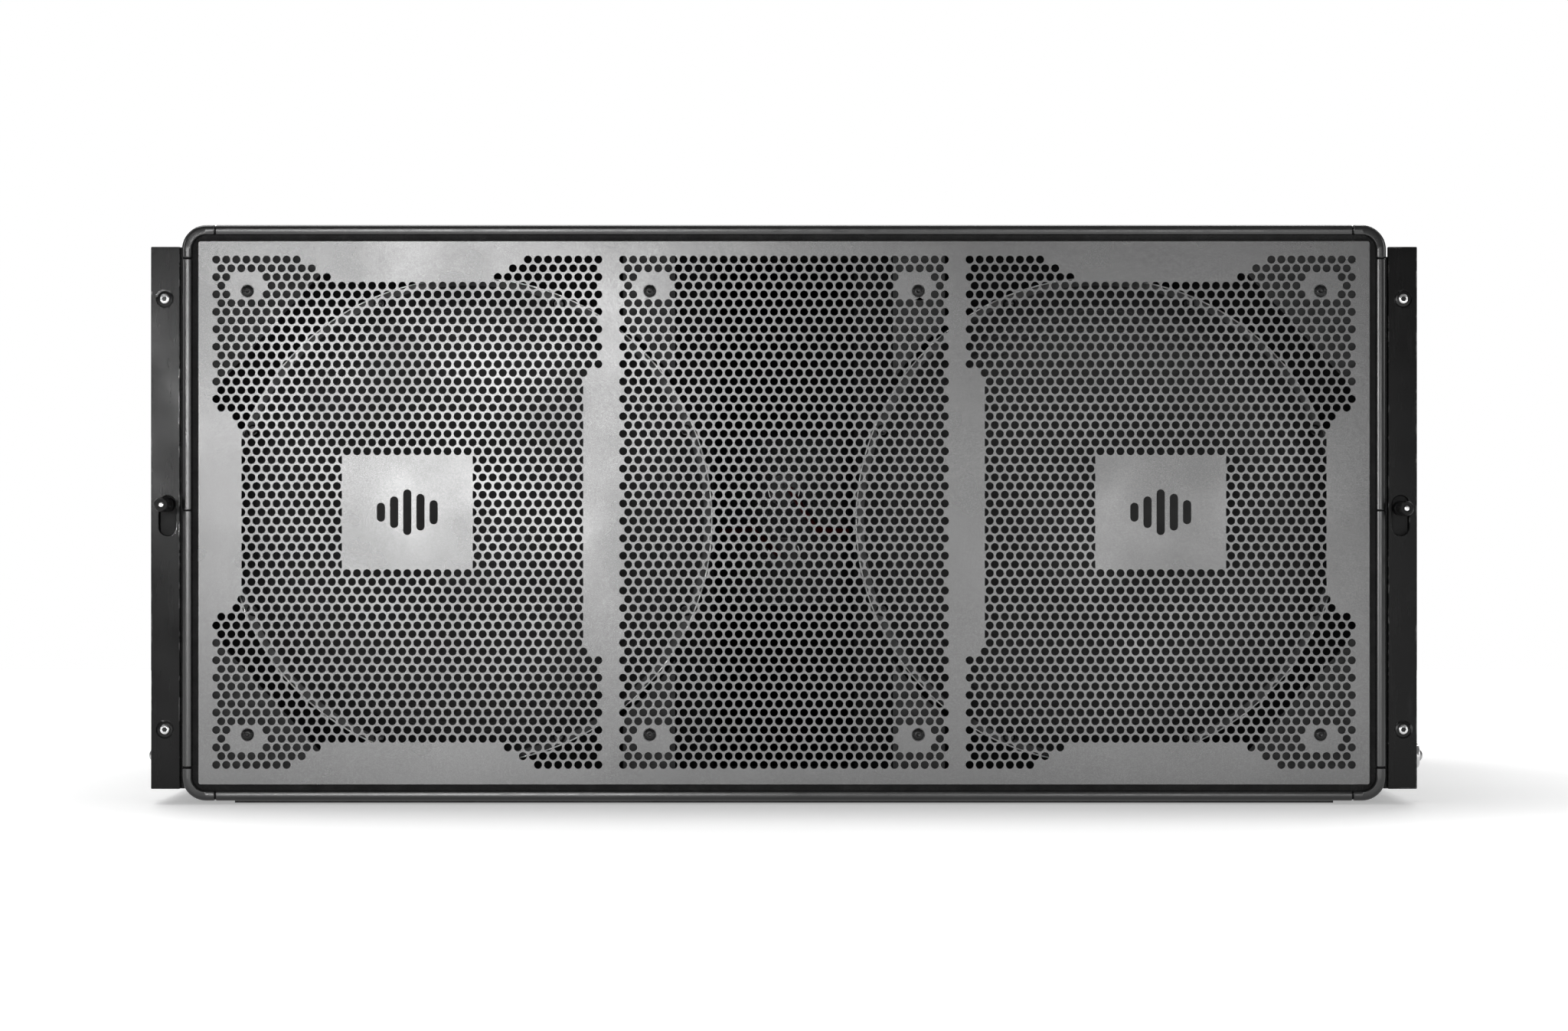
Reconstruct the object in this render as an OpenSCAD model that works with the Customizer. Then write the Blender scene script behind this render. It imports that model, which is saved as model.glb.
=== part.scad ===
/* [Cabinet] */
// Outside width of the plywood cabinet
cabinet_w = 948; // [940:2:960]
// Outside height of the plywood cabinet, without its skids
cabinet_h = 452; // [450:1:460]
// Depth from the front trim to the rear face
cabinet_d = 724; // [700:2:760]
// Thickness of the plywood panels
ply = 18; // [17:0.5:19]
// Radius of the long cabinet edges
edge_r = 16; // [12:1:16]
// Height of the skid runners
skid_h = 4; // [3:0.5:6]
// Taper of the rear of the box, top and bottom
taper_angle = 5; // [3:0.5:6]

/* [Drivers] */
// Distance of each driver axis from the middle of the box
driver_x = 250; // [249:0.5:255]
// Height of the driver axes above the cabinet's underside
driver_up = 220; // [216:1:230]
// Outside radius of the driver basket
basket_r = 193.5; // [190:0.5:194]
// Outside radius of the paper cone
cone_r = 152; // [146:1:154]
// Outside radius of the voice coil
coil_r = 38.8; // [38:0.1:39.5]

/* [Front] */
// How far the front baffle is set back behind the front trim
baffle_set_back = 40; // [38:1:46]
// Half the width of the port between the drivers
port_half_w = 56; // [50:1:56]
// Depth of the port walls behind the baffle
port_d = 282; // [240:2:300]
// Gap between the front trim's outside and the grille's edge
grille_margin = 12; // [11:0.5:14]

/* [Rigging] */
// Outside width over both rigging frames
frame_w = 1000; // [998:1:1004]
// Height of the frame plates
frame_h = 428; // [424:1:430]
// Height of the frame plates' lower edge above the floor
frame_up = 12; // [10:1:14]
// Radius of the quick-release pins
pin_r = 6; // [5:0.5:6]
// How far a front link bar rises out of its frame
link_rise = 82; // [60:1:84]
// How far the latch knobs stand in front of the front trim
knob_reach = 30; // [24:1:34]

/* [Hidden] */
$fn = 96;
eps = 0.01;

// Cabinet planes. +X is right, the front faces -Y, and the floor is z = 0.
front_y = -(cabinet_d - knob_reach) / 2;
back_y = front_y + cabinet_d;
trim_d = 10;
panel_front_y = front_y + trim_d;
half_w = cabinet_w / 2;
inner_half_w = half_w - ply;
base_z = skid_h;
top_z = base_z + cabinet_h;
inner_base_z = base_z + ply;
inner_top_z = top_z - ply;
straight_share = 0.6;
taper_y = front_y + straight_share * cabinet_d;
baffle_y = front_y + baffle_set_back;
baffle_rear_y = baffle_y + ply;
rear_inner_y = back_y - ply;
driver_z = base_z + driver_up;

// Height that the taper takes off one side of the box at depth y
function drop(y) = max(0, y - taper_y) * tan(taper_angle);

// Grille
grille_t = 1.5;
grille_y = front_y + 4.5;
grille_rear_y = grille_y + grille_t;
grille_half_w = half_w - grille_margin;
grille_base_z = base_z + grille_margin;
grille_top_z = top_z - grille_margin;
grille_corner_r = 6;
grille_hole_r = 3.2;
grille_screw_x = [-423.5, -106, 106, 423.5];
grille_screw_z = [base_z + 51, top_z - 51];

// Front trim
trim_w = 6.5;
trim_r = 18;
corner_leg = 25;
trim_gap = 0.4;

// Rear input plate, in a stepped recess of the rear panel
input_z = 222;
input_opening = [110, 160];
input_recess = [140, 190];
input_recess_d = 6;
input_plate_t = 2.5;
input_plate_y = back_y - input_recess_d;
socket_spacing = 60;
socket_bore_r = 12;
socket_bore_d = 18;
socket_body_r = 14.5;
socket_body_d = 26;
socket_flange = [26, 31, 3];
socket_y = input_plate_y + input_plate_t + socket_flange[2];

// Driver, measured forward from the front of the baffle
flange_t = 10;
cutout_r = 176;
seat_z = -92;
motor_front_t = 10;
magnet_t = 20;
motor_back_t = 12;
magnet_r = 84;
pole_r = 36.6;
gap_r = 40.3;
lip_in_r = 167.5;
lip_out_r = 178;
skin_t = 1;
cone_t = 1.8;
cone_apex_z = -68;
spider_out_r = 102;
spider_out_z = -84;
spider_in_z = -75;
cap_r = 59;
cap_h = 16;
cap_t = 1.2;
bolt_circle_r = 186;
bolt_count = 8;
terminal_block = [34, 14, 16];

// Rigging frame, drawn for the right-hand side: x grows away from the cabinet
frame_half_w = frame_w / 2;
plate_t = 5.5;
mount_t = 4;
plate_in_x = frame_half_w - plate_t;
mount_out_x = half_w + mount_t;
frame_front_y = front_y + 6;
flange_plate_t = 5;
flange_in_x = 477;
frame_back_y = back_y - 12;
frame_top_z = frame_up + frame_h;
mount_drop = 7.5;
link_in_x = mount_out_x + 3.5;
link_t = 10;
link_w = 40;
front_link_y = front_y + 55;
front_link_base_z = 215;
front_eye_z = 410;
guide_bolt_z = 325;
guide_bolt_r = 6;
rear_pivot = [back_y - 44, 392];
rear_bolt_r = 7;
rear_link_w = 34;
rear_eye_steps = [126, 108, 90];
eye_r = pin_r + 0.1;
front_pin_z = 36;
rear_pin_z = 62;
pin_end_play = 3;
pin_head_r = 10;
pin_head_h = 5;
button_r = 4.5;
button_proud = 3.5;
knob_r = 5.75;
knob_x = 487;
knob_z_left = 236.5;
knob_z_right = 233.5;
latch_stem_y = frame_front_y + flange_plate_t + 0.5;
latch_t = 5;
slot_r = 6.7;
slot_z = [218.7, 236.8];
flange_screw_x = 489;
flange_screw_z = [59, 399];
spacer_at = [[-245, 40], [-245, 405], [-40, 40], [-40, 405], [120, 55], [120, 400], [285, 80]];
spacer_r = 8;
frame_bolt_r = 4;
grip_y = [-215, -5];
grip_size = [130, 80];
grip_z = 185;
grip_corner_r = 15;
cup_wall = 3;
cup_d = 50;

// ---------- shared shapes ----------

module mirrored(side) {
    mirror([side < 0 ? 1 : 0, 0, 0]) children();
}

// A flat outline in (y, z), as a plate between two x planes
module side_plate(x0, x1) {
    translate([x0, 0, 0]) rotate([90, 0, 90]) linear_extrude(x1 - x0) children();
}

// A flat outline in (x, z), as a slab between two y planes
module front_slab(y0, y1) {
    translate([0, y1, 0]) rotate([90, 0, 0]) linear_extrude(y1 - y0) children();
}

module rounded_outline(x0, x1, z0, z1, r) {
    translate([x0 + r, z0]) square([x1 - x0 - 2 * r, z1 - z0]);
    translate([x0, z0 + r]) square([x1 - x0, z1 - z0 - 2 * r]);
    for (x = [x0 + r, x1 - r], z = [z0 + r, z1 - r]) translate([x, z]) circle(r);
}

// A plain cylinder along X from x0 to x1 at (y, z)
module cross_rod(x0, x1, y, z, r) {
    translate([x0, y, z]) rotate([0, 90, 0]) cylinder(h = x1 - x0, r = r);
}

// A plain cylinder along Y from y0 to y1 at (x, z)
module deep_rod(y0, y1, x, z, r) {
    translate([x, y1, z]) rotate([90, 0, 0]) cylinder(h = y1 - y0, r = r);
}

// A cylinder between two points
module rod(a, b, r) {
    run = b - a;
    translate(a) rotate([0, acos(run[2] / norm(run)), atan2(run[1], run[0])])
        cylinder(h = norm(run), r = r);
}

// ---------- cabinet ----------

// Section of the top or bottom panel, with rounded ends: the outer face is at 0
module panel_section(inset) {
    intersection() {
        rounded_outline(-half_w + inset, half_w - inset, -2 * edge_r - ply, -inset, edge_r);
        translate([-half_w, -ply + inset]) square([cabinet_w, ply]);
    }
}

// Half of space in front of (side -1) or behind (side 1) the mitre between the two runs of a panel
module mitre_half(side) {
    big = 2 * cabinet_d;
    rotate([-taper_angle / 2, 0, 0]) translate([-big / 2, side < 0 ? -big : 0, -big / 2]) cube(big);
}

// The top panel: a level run, then a run that falls at the taper's angle, sanded a hair thinner
mitre_step = 0.05;
module tapered_panel() {
    reach = cabinet_d;
    translate([0, taper_y, top_z]) {
        intersection() {
            front_slab(panel_front_y - taper_y, reach) panel_section(0);
            mitre_half(-1);
        }
        intersection() {
            rotate([-taper_angle, 0, 0]) front_slab(-reach, reach) panel_section(mitre_step);
            mitre_half(1);
            translate([-cabinet_w, -reach, -reach])
                cube([2 * cabinet_w, reach + back_y - taper_y, 2 * reach]);
        }
    }
}

// Space inside the top and bottom panels, as a (y, z) outline
bend_y = taper_y - ply * tan(taper_angle / 2);
function inner_drop(y) = max(0, y - bend_y) * tan(taper_angle);
module inside_outline(y0, y1) {
    polygon([
        [y0, inner_base_z], [bend_y, inner_base_z], [y1, inner_base_z + inner_drop(y1)],
        [y1, inner_top_z - inner_drop(y1)], [bend_y, inner_top_z], [y0, inner_top_z]
    ]);
}

module top_panel() {
    color("#1d1e20") tapered_panel();
}

module bottom_panel() {
    color("#1d1e20") translate([0, 0, base_z + top_z]) mirror([0, 0, 1]) tapered_panel();
}

module grip_openings(x0, x1, margin) {
    for (y = grip_y) side_plate(x0, x1)
        rounded_outline(y + margin, y + grip_size[0] - margin, grip_z + margin,
            grip_z + grip_size[1] - margin, grip_corner_r);
}

module side_panel(side) {
    color("#1d1e20") mirrored(side) difference() {
        side_plate(inner_half_w, half_w) inside_outline(panel_front_y, back_y);
        grip_openings(inner_half_w - 1, half_w + 1, 0);
        for (at = spacer_at) cross_rod(inner_half_w - 1, half_w + 1, at[0], at[1], frame_bolt_r + 0.3);
    }
}

module rear_panel() {
    color("#1d1e20") difference() {
        side_plate(-inner_half_w, inner_half_w) polygon([
            [rear_inner_y, inner_base_z + inner_drop(rear_inner_y)],
            [back_y, inner_base_z + inner_drop(back_y)],
            [back_y, inner_top_z - inner_drop(back_y)],
            [rear_inner_y, inner_top_z - inner_drop(rear_inner_y)]
        ]);
        translate([-input_opening[0] / 2, rear_inner_y - 1, input_z - input_opening[1] / 2])
            cube([input_opening[0], ply + 2, input_opening[1]]);
        translate([-input_recess[0] / 2, input_plate_y, input_z - input_recess[1] / 2])
            cube([input_recess[0], input_recess_d + 1, input_recess[1]]);
        for (at = input_screw_at())
            deep_rod(rear_inner_y - 1, input_plate_y + 1, at[0], input_z + at[1], 1.95);
    }
}

module front_baffle() {
    port_margin = 6;
    color("#161617") difference() {
        translate([-inner_half_w, baffle_y, inner_base_z])
            cube([2 * inner_half_w, ply, inner_top_z - inner_base_z]);
        for (side = [-1, 1]) {
            deep_rod(baffle_y - 1, baffle_rear_y + 1, side * driver_x, driver_z, cutout_r);
            for (i = [0:bolt_count - 1]) {
                turn = (i + 0.5) * 360 / bolt_count;
                deep_rod(baffle_y - 1, baffle_rear_y + 1,
                    side * driver_x + bolt_circle_r * cos(turn),
                    driver_z + bolt_circle_r * sin(turn), 3.3);
            }
        }
        translate([-port_half_w, baffle_y - 1, inner_base_z + port_margin])
            cube([2 * port_half_w, ply + 2, inner_top_z - inner_base_z - 2 * port_margin]);
    }
}

module port_walls() {
    wall = 15;
    color("#161617") for (side = [-1, 1]) mirrored(side)
        translate([port_half_w, baffle_rear_y, inner_base_z])
            cube([wall, port_d, inner_top_z - inner_base_z]);
}

module internal_braces() {
    brace_t = 15;
    brace_y = -60;
    brace_x = 71;
    hole_r = 155;
    color("#a4865a") for (side = [-1, 1]) mirrored(side) difference() {
        translate([brace_x, brace_y, inner_base_z])
            cube([inner_half_w - brace_x, brace_t, inner_top_z - inner_base_z]);
        deep_rod(brace_y - 1, brace_y + brace_t + 1, (brace_x + inner_half_w) / 2,
            (inner_base_z + inner_top_z) / 2, hole_r);
    }
}

// Hardwood blocks in front of the baffle that the grille is screwed to
module grille_blocks() {
    gusset = [108, 117];
    block_x = [86, 127];
    block_h = [94, 99];
    pilot_r = 2.2;
    color("#2a2a2b") difference() {
        for (side = [-1, 1]) mirrored(side) {
            front_slab(grille_rear_y, baffle_y) {
                polygon([[inner_half_w, inner_top_z], [inner_half_w - gusset[0], inner_top_z],
                    [inner_half_w, inner_top_z - gusset[1]]]);
                polygon([[inner_half_w, inner_base_z], [inner_half_w - gusset[0], inner_base_z],
                    [inner_half_w, inner_base_z + gusset[1]]]);
            }
            front_slab(grille_rear_y, baffle_y) difference() {
                union() {
                    translate([block_x[0], inner_top_z - block_h[1]])
                        square([block_x[1] - block_x[0], block_h[1]]);
                    translate([block_x[0], inner_base_z])
                        square([block_x[1] - block_x[0], block_h[0]]);
                }
                translate([driver_x, driver_z]) circle(basket_r + 4);
            }
        }
        for (x = grille_screw_x, z = grille_screw_z)
            deep_rod(grille_rear_y - 1, grille_rear_y + 22, x, z, pilot_r);
    }
}

// Sheets of wadding on the inside of the rear panel
module damping_lining() {
    pad_t = 25;
    pad_x = [78, 450];
    pad_z = [48, 404];
    color("#8d8f8c") for (side = [-1, 1]) mirrored(side)
        translate([pad_x[0], rear_inner_y - pad_t, pad_z[0]])
            cube([pad_x[1] - pad_x[0], pad_t, pad_z[1] - pad_z[0]]);
}

module trim_ring() {
    front_slab(front_y, panel_front_y) difference() {
        rounded_outline(-half_w, half_w, base_z, top_z, trim_r);
        rounded_outline(-half_w + trim_w, half_w - trim_w, base_z + trim_w, top_z - trim_w,
            trim_r - trim_w);
    }
}

module corner_zone(leg) {
    for (x = [-half_w, half_w - leg], z = [base_z, top_z - leg])
        translate([x, front_y - 1, z]) cube([leg, trim_d + 2, leg]);
}

module corner_caps() {
    color("#0e0e0f") intersection() {
        trim_ring();
        corner_zone(corner_leg);
    }
}

module edge_trims() {
    color("#17181a") difference() {
        trim_ring();
        corner_zone(corner_leg + trim_gap);
    }
}

// Steel grille sheet with its edges folded back
module grille() {
    lip_d = panel_front_y - grille_y;
    color("#6d6f71") difference() {
        union() {
            front_slab(grille_y, grille_rear_y) rounded_outline(-grille_half_w, grille_half_w,
                grille_base_z, grille_top_z, grille_corner_r);
            front_slab(grille_rear_y - eps, grille_y + lip_d) difference() {
                rounded_outline(-grille_half_w, grille_half_w, grille_base_z, grille_top_z,
                    grille_corner_r);
                rounded_outline(-grille_half_w + grille_t, grille_half_w - grille_t,
                    grille_base_z + grille_t, grille_top_z - grille_t,
                    grille_corner_r - grille_t);
            }
        }
        for (x = grille_screw_x, z = grille_screw_z)
            deep_rod(grille_y - 1, grille_rear_y + 1, x, z, grille_hole_r);
    }
}

module grille_screws() {
    head_r = 5;
    head_h = 2.6;
    socket_r = 1.6;
    color("#131314") for (x = grille_screw_x, z = grille_screw_z) difference() {
        union() {
            deep_rod(grille_y - head_h, grille_y, x, z, head_r);
            deep_rod(grille_y - eps, grille_rear_y + 18, x, z, 2.1);
        }
        deep_rod(grille_y - head_h - 1, grille_y - 0.8, x, z, socket_r);
    }
}

module skid_runners() {
    runner = [872, 30];
    color("#101011") for (y = [front_y + 24, taper_y - 40])
        translate([-runner[0] / 2, y, 0]) cube([runner[0], runner[1], skid_h]);
}

// ---------- rear input ----------

function socket_z(i) = input_z + (i - 0.5) * socket_spacing;

module input_plate() {
    plate = [input_recess[0] - 1, input_recess[1] - 1];
    color("#2b2c2e") difference() {
        translate([-plate[0] / 2, input_plate_y, input_z - plate[1] / 2])
            cube([plate[0], input_plate_t, plate[1]]);
        for (i = [0, 1])
            deep_rod(input_plate_y - 1, back_y, 0, socket_z(i), socket_body_r + 0.3);
        for (at = input_screw_at())
            deep_rod(input_plate_y - 1, back_y, at[0], input_z + at[1], 2.2);
    }
}

function input_screw_at() = [for (x = [-62, 62], z = [-87, 0, 87]) [x, z]];

module speaker_sockets() {
    color("#1b2c4d") for (i = [0, 1]) difference() {
        union() {
            translate([-socket_flange[0] / 2, socket_y - socket_flange[2],
                socket_z(i) - socket_flange[1] / 2])
                cube([socket_flange[0], socket_flange[2], socket_flange[1]]);
            deep_rod(socket_y - socket_body_d, socket_y - eps, 0, socket_z(i), socket_body_r);
        }
        deep_rod(socket_y - socket_bore_d, socket_y + 1, 0, socket_z(i), socket_bore_r);
    }
}

module input_plate_screws() {
    color("#9a9da0") for (at = input_screw_at()) {
        deep_rod(input_plate_y + input_plate_t, input_plate_y + input_plate_t + 2.4,
            at[0], input_z + at[1], 3.8);
        deep_rod(input_plate_y - 10, input_plate_y + input_plate_t + eps,
            at[0], input_z + at[1], 1.9);
    }
}

// Two-core leads from the sockets to the terminal block of each driver
module hookup_wires() {
    lead_r = 3;
    bend_r = 3.3;
    straight = 18;
    lug_drop = 103;
    start = [6, socket_y - socket_body_d];
    behind_brace = [30, 290, 215];
    past_brace = [150, 60, 205];
    beside_magnet = [170, -120, 150];
    lug = [driver_x, baffle_y - seat_z + terminal_block[2], driver_z - lug_drop];
    over_lug = [driver_x, -165, lug[2]];
    color("#7c2020") for (side = [-1, 1]) mirrored(side) {
        socket = socket_z(side < 0 ? 0 : 1);
        route = [[start[0], start[1], socket], [start[0], start[1] - straight, socket],
            behind_brace, past_brace, beside_magnet, over_lug, lug];
        for (i = [0:len(route) - 2]) rod(route[i], route[i + 1], lead_r);
        for (i = [1:len(route) - 2]) translate(route[i]) sphere(bend_r);
    }
}

// ---------- drivers, drawn with their axis along +Z and the baffle front at z = 0 ----------

module at_driver(side) {
    translate([side * driver_x, baffle_y, driver_z]) rotate([90, 0, 0]) children();
}

module basket(side) {
    window = [120, 84, 50];
    color("#232425") at_driver(side) difference() {
        rotate_extrude() polygon([
            [62, seat_z], [62, seat_z + 4], [92.5, seat_z + 4], [92.5, spider_out_z],
            [103, spider_out_z], [165, -28], [lip_in_r + 0.5, flange_t], [basket_r, flange_t],
            [basket_r, 0], [174, 0], [172, -32], [110, seat_z]
        ]);
        for (turn = [30:60:330]) rotate(turn)
            translate([112, -window[1] / 2, -80]) cube(window);
        for (i = [0:bolt_count - 1]) rotate((i + 0.5) * 360 / bolt_count)
            translate([bolt_circle_r, 0, -1]) cylinder(h = flange_t + 2, r = 3.2);
    }
}

module driver_magnets() {
    color("#3a3a3c") for (side = [-1, 1]) at_driver(side) translate([0, 0, -motor_front_t - magnet_t])
        difference() {
            translate([0, 0, seat_z]) cylinder(h = magnet_t, r = magnet_r);
            translate([0, 0, seat_z - 1]) cylinder(h = magnet_t + 2, r = 46);
        }
}

module motor_plates() {
    back_z = seat_z - motor_front_t - magnet_t - motor_back_t;
    color("#8c8f92") for (side = [-1, 1]) at_driver(side) {
        difference() {
            translate([0, 0, seat_z - motor_front_t]) cylinder(h = motor_front_t, r = magnet_r + 6);
            translate([0, 0, seat_z - motor_front_t - 1]) cylinder(h = motor_front_t + 2, r = gap_r);
        }
        difference() {
            union() {
                translate([0, 0, back_z]) cylinder(h = motor_back_t, r = magnet_r);
                translate([0, 0, back_z + eps]) cylinder(h = seat_z - back_z, r = pole_r);
            }
            translate([0, 0, back_z - 1]) cylinder(h = seat_z - back_z + 3, r = 12);
        }
    }
}

function cone_z(r) = cone_apex_z * (cone_r - r) / (cone_r - coil_r);

module cone(side) {
    color("#2f3031") at_driver(side) rotate_extrude() polygon([
        [coil_r + 0.1, cone_apex_z - cone_t], [cone_r, -cone_t], [cone_r, 0],
        [coil_r + 0.1, cone_apex_z]
    ]);
}

module dust_cap(side) {
    ball_r = (cap_r * cap_r + cap_h * cap_h) / (2 * cap_h);
    rim_z = cone_z(cap_r) + 0.4;
    color("#262728") at_driver(side) intersection() {
        translate([0, 0, rim_z + cap_h - ball_r]) difference() {
            sphere(ball_r);
            sphere(ball_r - cap_t);
        }
        translate([0, 0, rim_z]) cylinder(h = 2 * cap_h, r = cap_r + 5);
    }
}

module voice_coil(side) {
    coil_base_z = -110;
    color("#9a5a2c") at_driver(side) difference() {
        translate([0, 0, coil_base_z]) cylinder(h = cone_apex_z - coil_base_z + 4, r = coil_r);
        translate([0, 0, coil_base_z - 1]) cylinder(h = cone_apex_z - coil_base_z + 6, r = coil_r - 1.4);
    }
}

// Outline of a rippled skin that climbs from (r0, z0) to (r1, z1), and then runs flat to r2
function ripple_z(r, r0, z0, r1, z1, waves, swing) =
    z0 + (z1 - z0) * (r - r0) / (r1 - r0) + swing * sin(360 * waves * (r - r0) / (r1 - r0));
function ripple_line(r0, z0, r1, z1, waves, swing, lift) =
    [for (i = [0:waves * 6])
        let (r = r0 + (r1 - r0) * i / (waves * 6))
        [r, lift + ripple_z(r, r0, z0, r1, z1, waves, swing)]];
module rippled_skin(r0, z0, r1, z1, r2, waves, swing) {
    upper = ripple_line(r0, z0, r1, z1, waves, swing, skin_t);
    lower = ripple_line(r0, z0, r1, z1, waves, swing, 0);
    rotate_extrude() polygon(concat(
        lower, [[r2, z1], [r2, z1 + skin_t]], [for (i = [len(upper) - 1:-1:0]) upper[i]]));
}

module surround(side) {
    color("#1c1c1d") at_driver(side)
        rippled_skin(cone_r + 0.3, -cone_t / 2, lip_in_r, flange_t, lip_out_r, 3, 1.2);
}

module spider(side) {
    color("#b08a45") at_driver(side)
        rippled_skin(coil_r + 0.1, spider_in_z, 92, spider_out_z, spider_out_r, 6, 1.3);
}

module driver_gaskets() {
    color("#0c0c0d") for (side = [-1, 1]) at_driver(side) difference() {
        rotate_extrude() polygon([
            [171, flange_t + skin_t], [lip_out_r + 0.3, flange_t + skin_t],
            [lip_out_r + 0.3, flange_t], [186.5, flange_t], [186.5, flange_t + 4],
            [171, flange_t + 4]
        ]);
        for (i = [0:bolt_count - 1]) rotate((i + 0.5) * 360 / bolt_count)
            translate([bolt_circle_r, 0, flange_t - 1]) cylinder(h = 6, r = 5.6);
    }
}

module driver_bolts() {
    color("#3c3d3f") for (side = [-1, 1]) at_driver(side)
        for (i = [0:bolt_count - 1]) rotate((i + 0.5) * 360 / bolt_count)
            translate([bolt_circle_r, 0, 0]) difference() {
                union() {
                    translate([0, 0, flange_t]) cylinder(h = 6, r = 5);
                    translate([0, 0, -ply]) cylinder(h = ply + flange_t + eps, r = 3);
                }
                translate([0, 0, flange_t + 3]) cylinder(h = 4, r = 2.5, $fn = 6);
            }
}

module driver_terminals() {
    color("#a01f1f") for (side = [-1, 1]) at_driver(side)
        translate([-terminal_block[0] / 2, -96 - terminal_block[1], seat_z - terminal_block[2]])
            cube(terminal_block);
}

// ---------- rigging frames ----------

// Outline of a frame plate in (y, z), following the box's taper
module frame_outline(y0, y1, top_cut) {
    polygon([
        [y0, frame_up], [taper_y, frame_up], [y1, frame_up + drop(y1)],
        [y1, frame_top_z - drop(y1)], [taper_y, frame_top_z - top_cut], [y0, frame_top_z - top_cut]
    ]);
}

// Holes that the outer plate and the mount plate share
module plate_holes(x0, x1) {
    for (at = spacer_at) cross_rod(x0, x1, at[0], at[1], frame_bolt_r + 0.3);
    cross_rod(x0, x1, front_link_y, front_pin_z, pin_r + 0.05);
    cross_rod(x0, x1, rear_pivot[0], rear_pin_z, pin_r + 0.05);
    cross_rod(x0, x1, front_link_y, front_eye_z, eye_r);
    cross_rod(x0, x1, rear_pivot[0], rear_pivot[1] - rear_eye_steps[0], eye_r);
    cross_rod(x0, x1, front_link_y, guide_bolt_z, guide_bolt_r + 0.3);
    cross_rod(x0, x1, rear_pivot[0], rear_pivot[1], rear_bolt_r + 0.3);
}

module side_frame(side) {
    screw_sink_r = 6.6;
    screw_sink_d = 1.6;
    rear_flange_z = [frame_up + drop(frame_back_y), 205];
    color("#121314") mirrored(side) difference() {
        union() {
            side_plate(plate_in_x, frame_half_w) frame_outline(frame_front_y, frame_back_y, 0);
            translate([flange_in_x, frame_front_y, frame_up])
                cube([frame_half_w - flange_in_x - eps, flange_plate_t, frame_h]);
            translate([flange_in_x, frame_back_y - flange_plate_t, rear_flange_z[0]])
                cube([frame_half_w - flange_in_x - eps, flange_plate_t,
                    rear_flange_z[1] - rear_flange_z[0]]);
        }
        grip_openings(plate_in_x - 1, frame_half_w + 1, 0);
        plate_holes(plate_in_x - 1, frame_half_w + 1);
        for (z = flange_screw_z) {
            deep_rod(frame_front_y - 1, frame_front_y + 10, flange_screw_x, z, 2.8);
            deep_rod(frame_front_y - 1, frame_front_y + screw_sink_d, flange_screw_x, z, screw_sink_r);
        }
        for (z = slot_z)
            deep_rod(frame_front_y - 1, frame_front_y + flange_plate_t + 1, knob_x, z, slot_r);
        translate([knob_x - slot_r, frame_front_y - 1, slot_z[0]])
            cube([2 * slot_r, flange_plate_t + 2, slot_z[1] - slot_z[0]]);
    }
}

module mount_plate(side) {
    top_cut = side > 0 ? mount_drop : 0;
    color("#161718") mirrored(side) difference() {
        side_plate(half_w, mount_out_x)
            frame_outline(frame_front_y + flange_plate_t + 1, frame_back_y - flange_plate_t - 1, top_cut);
        grip_openings(half_w - 1, mount_out_x + 1, cup_wall);
        plate_holes(half_w - 1, mount_out_x + 1);
    }
}

module frame_spacers() {
    color("#8f9295") for (side = [-1, 1]) mirrored(side) for (at = spacer_at) difference() {
        cross_rod(mount_out_x, plate_in_x, at[0], at[1], spacer_r);
        cross_rod(mount_out_x - 1, plate_in_x + 1, at[0], at[1], frame_bolt_r + 0.3);
    }
}

module frame_bolts() {
    head_r = 7;
    head_h = 4.4;
    color("#56585b") for (side = [-1, 1]) mirrored(side) for (at = spacer_at) difference() {
        union() {
            cross_rod(frame_half_w, frame_half_w + head_h, at[0], at[1], head_r);
            cross_rod(inner_half_w + 1, frame_half_w + eps, at[0], at[1], frame_bolt_r);
        }
        translate([frame_half_w + head_h - 2.6, at[0], at[1]]) rotate([0, 90, 0])
            cylinder(h = 4, r = 2.9, $fn = 6);
    }
}

module flange_screws() {
    head_r = 4.3;
    head_y = frame_front_y + 1.6;
    color("#d5d7d9") for (side = [-1, 1]) mirrored(side) for (z = flange_screw_z) difference() {
        union() {
            deep_rod(head_y - 3.4, head_y, flange_screw_x, z, head_r);
            deep_rod(head_y - eps, frame_front_y + 22, flange_screw_x, z, 2.5);
        }
        translate([flange_screw_x, head_y - 1.6, z]) rotate([90, 0, 0])
            cylinder(h = 3, r = 1.6, $fn = 6);
    }
}

// Nylon blocks behind the front flange: the outer two take its screws, the middle one backs the latch
module guide_blocks() {
    block_y = [frame_front_y + flange_plate_t, front_link_y - link_w / 2 - 2];
    latch_back_y = latch_stem_y + latch_t + 0.5;
    color("#2c2d2f") for (side = [-1, 1]) mirrored(side) {
        for (z = flange_screw_z) difference() {
            translate([mount_out_x, block_y[0], z - 15])
                cube([plate_in_x - mount_out_x, block_y[1] - block_y[0], 30]);
            deep_rod(block_y[0] - 1, frame_front_y + 24, flange_screw_x, z, 2.8);
        }
        translate([mount_out_x, latch_back_y, 185])
            cube([plate_in_x - mount_out_x, block_y[1] - latch_back_y, 90]);
    }
}

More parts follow.
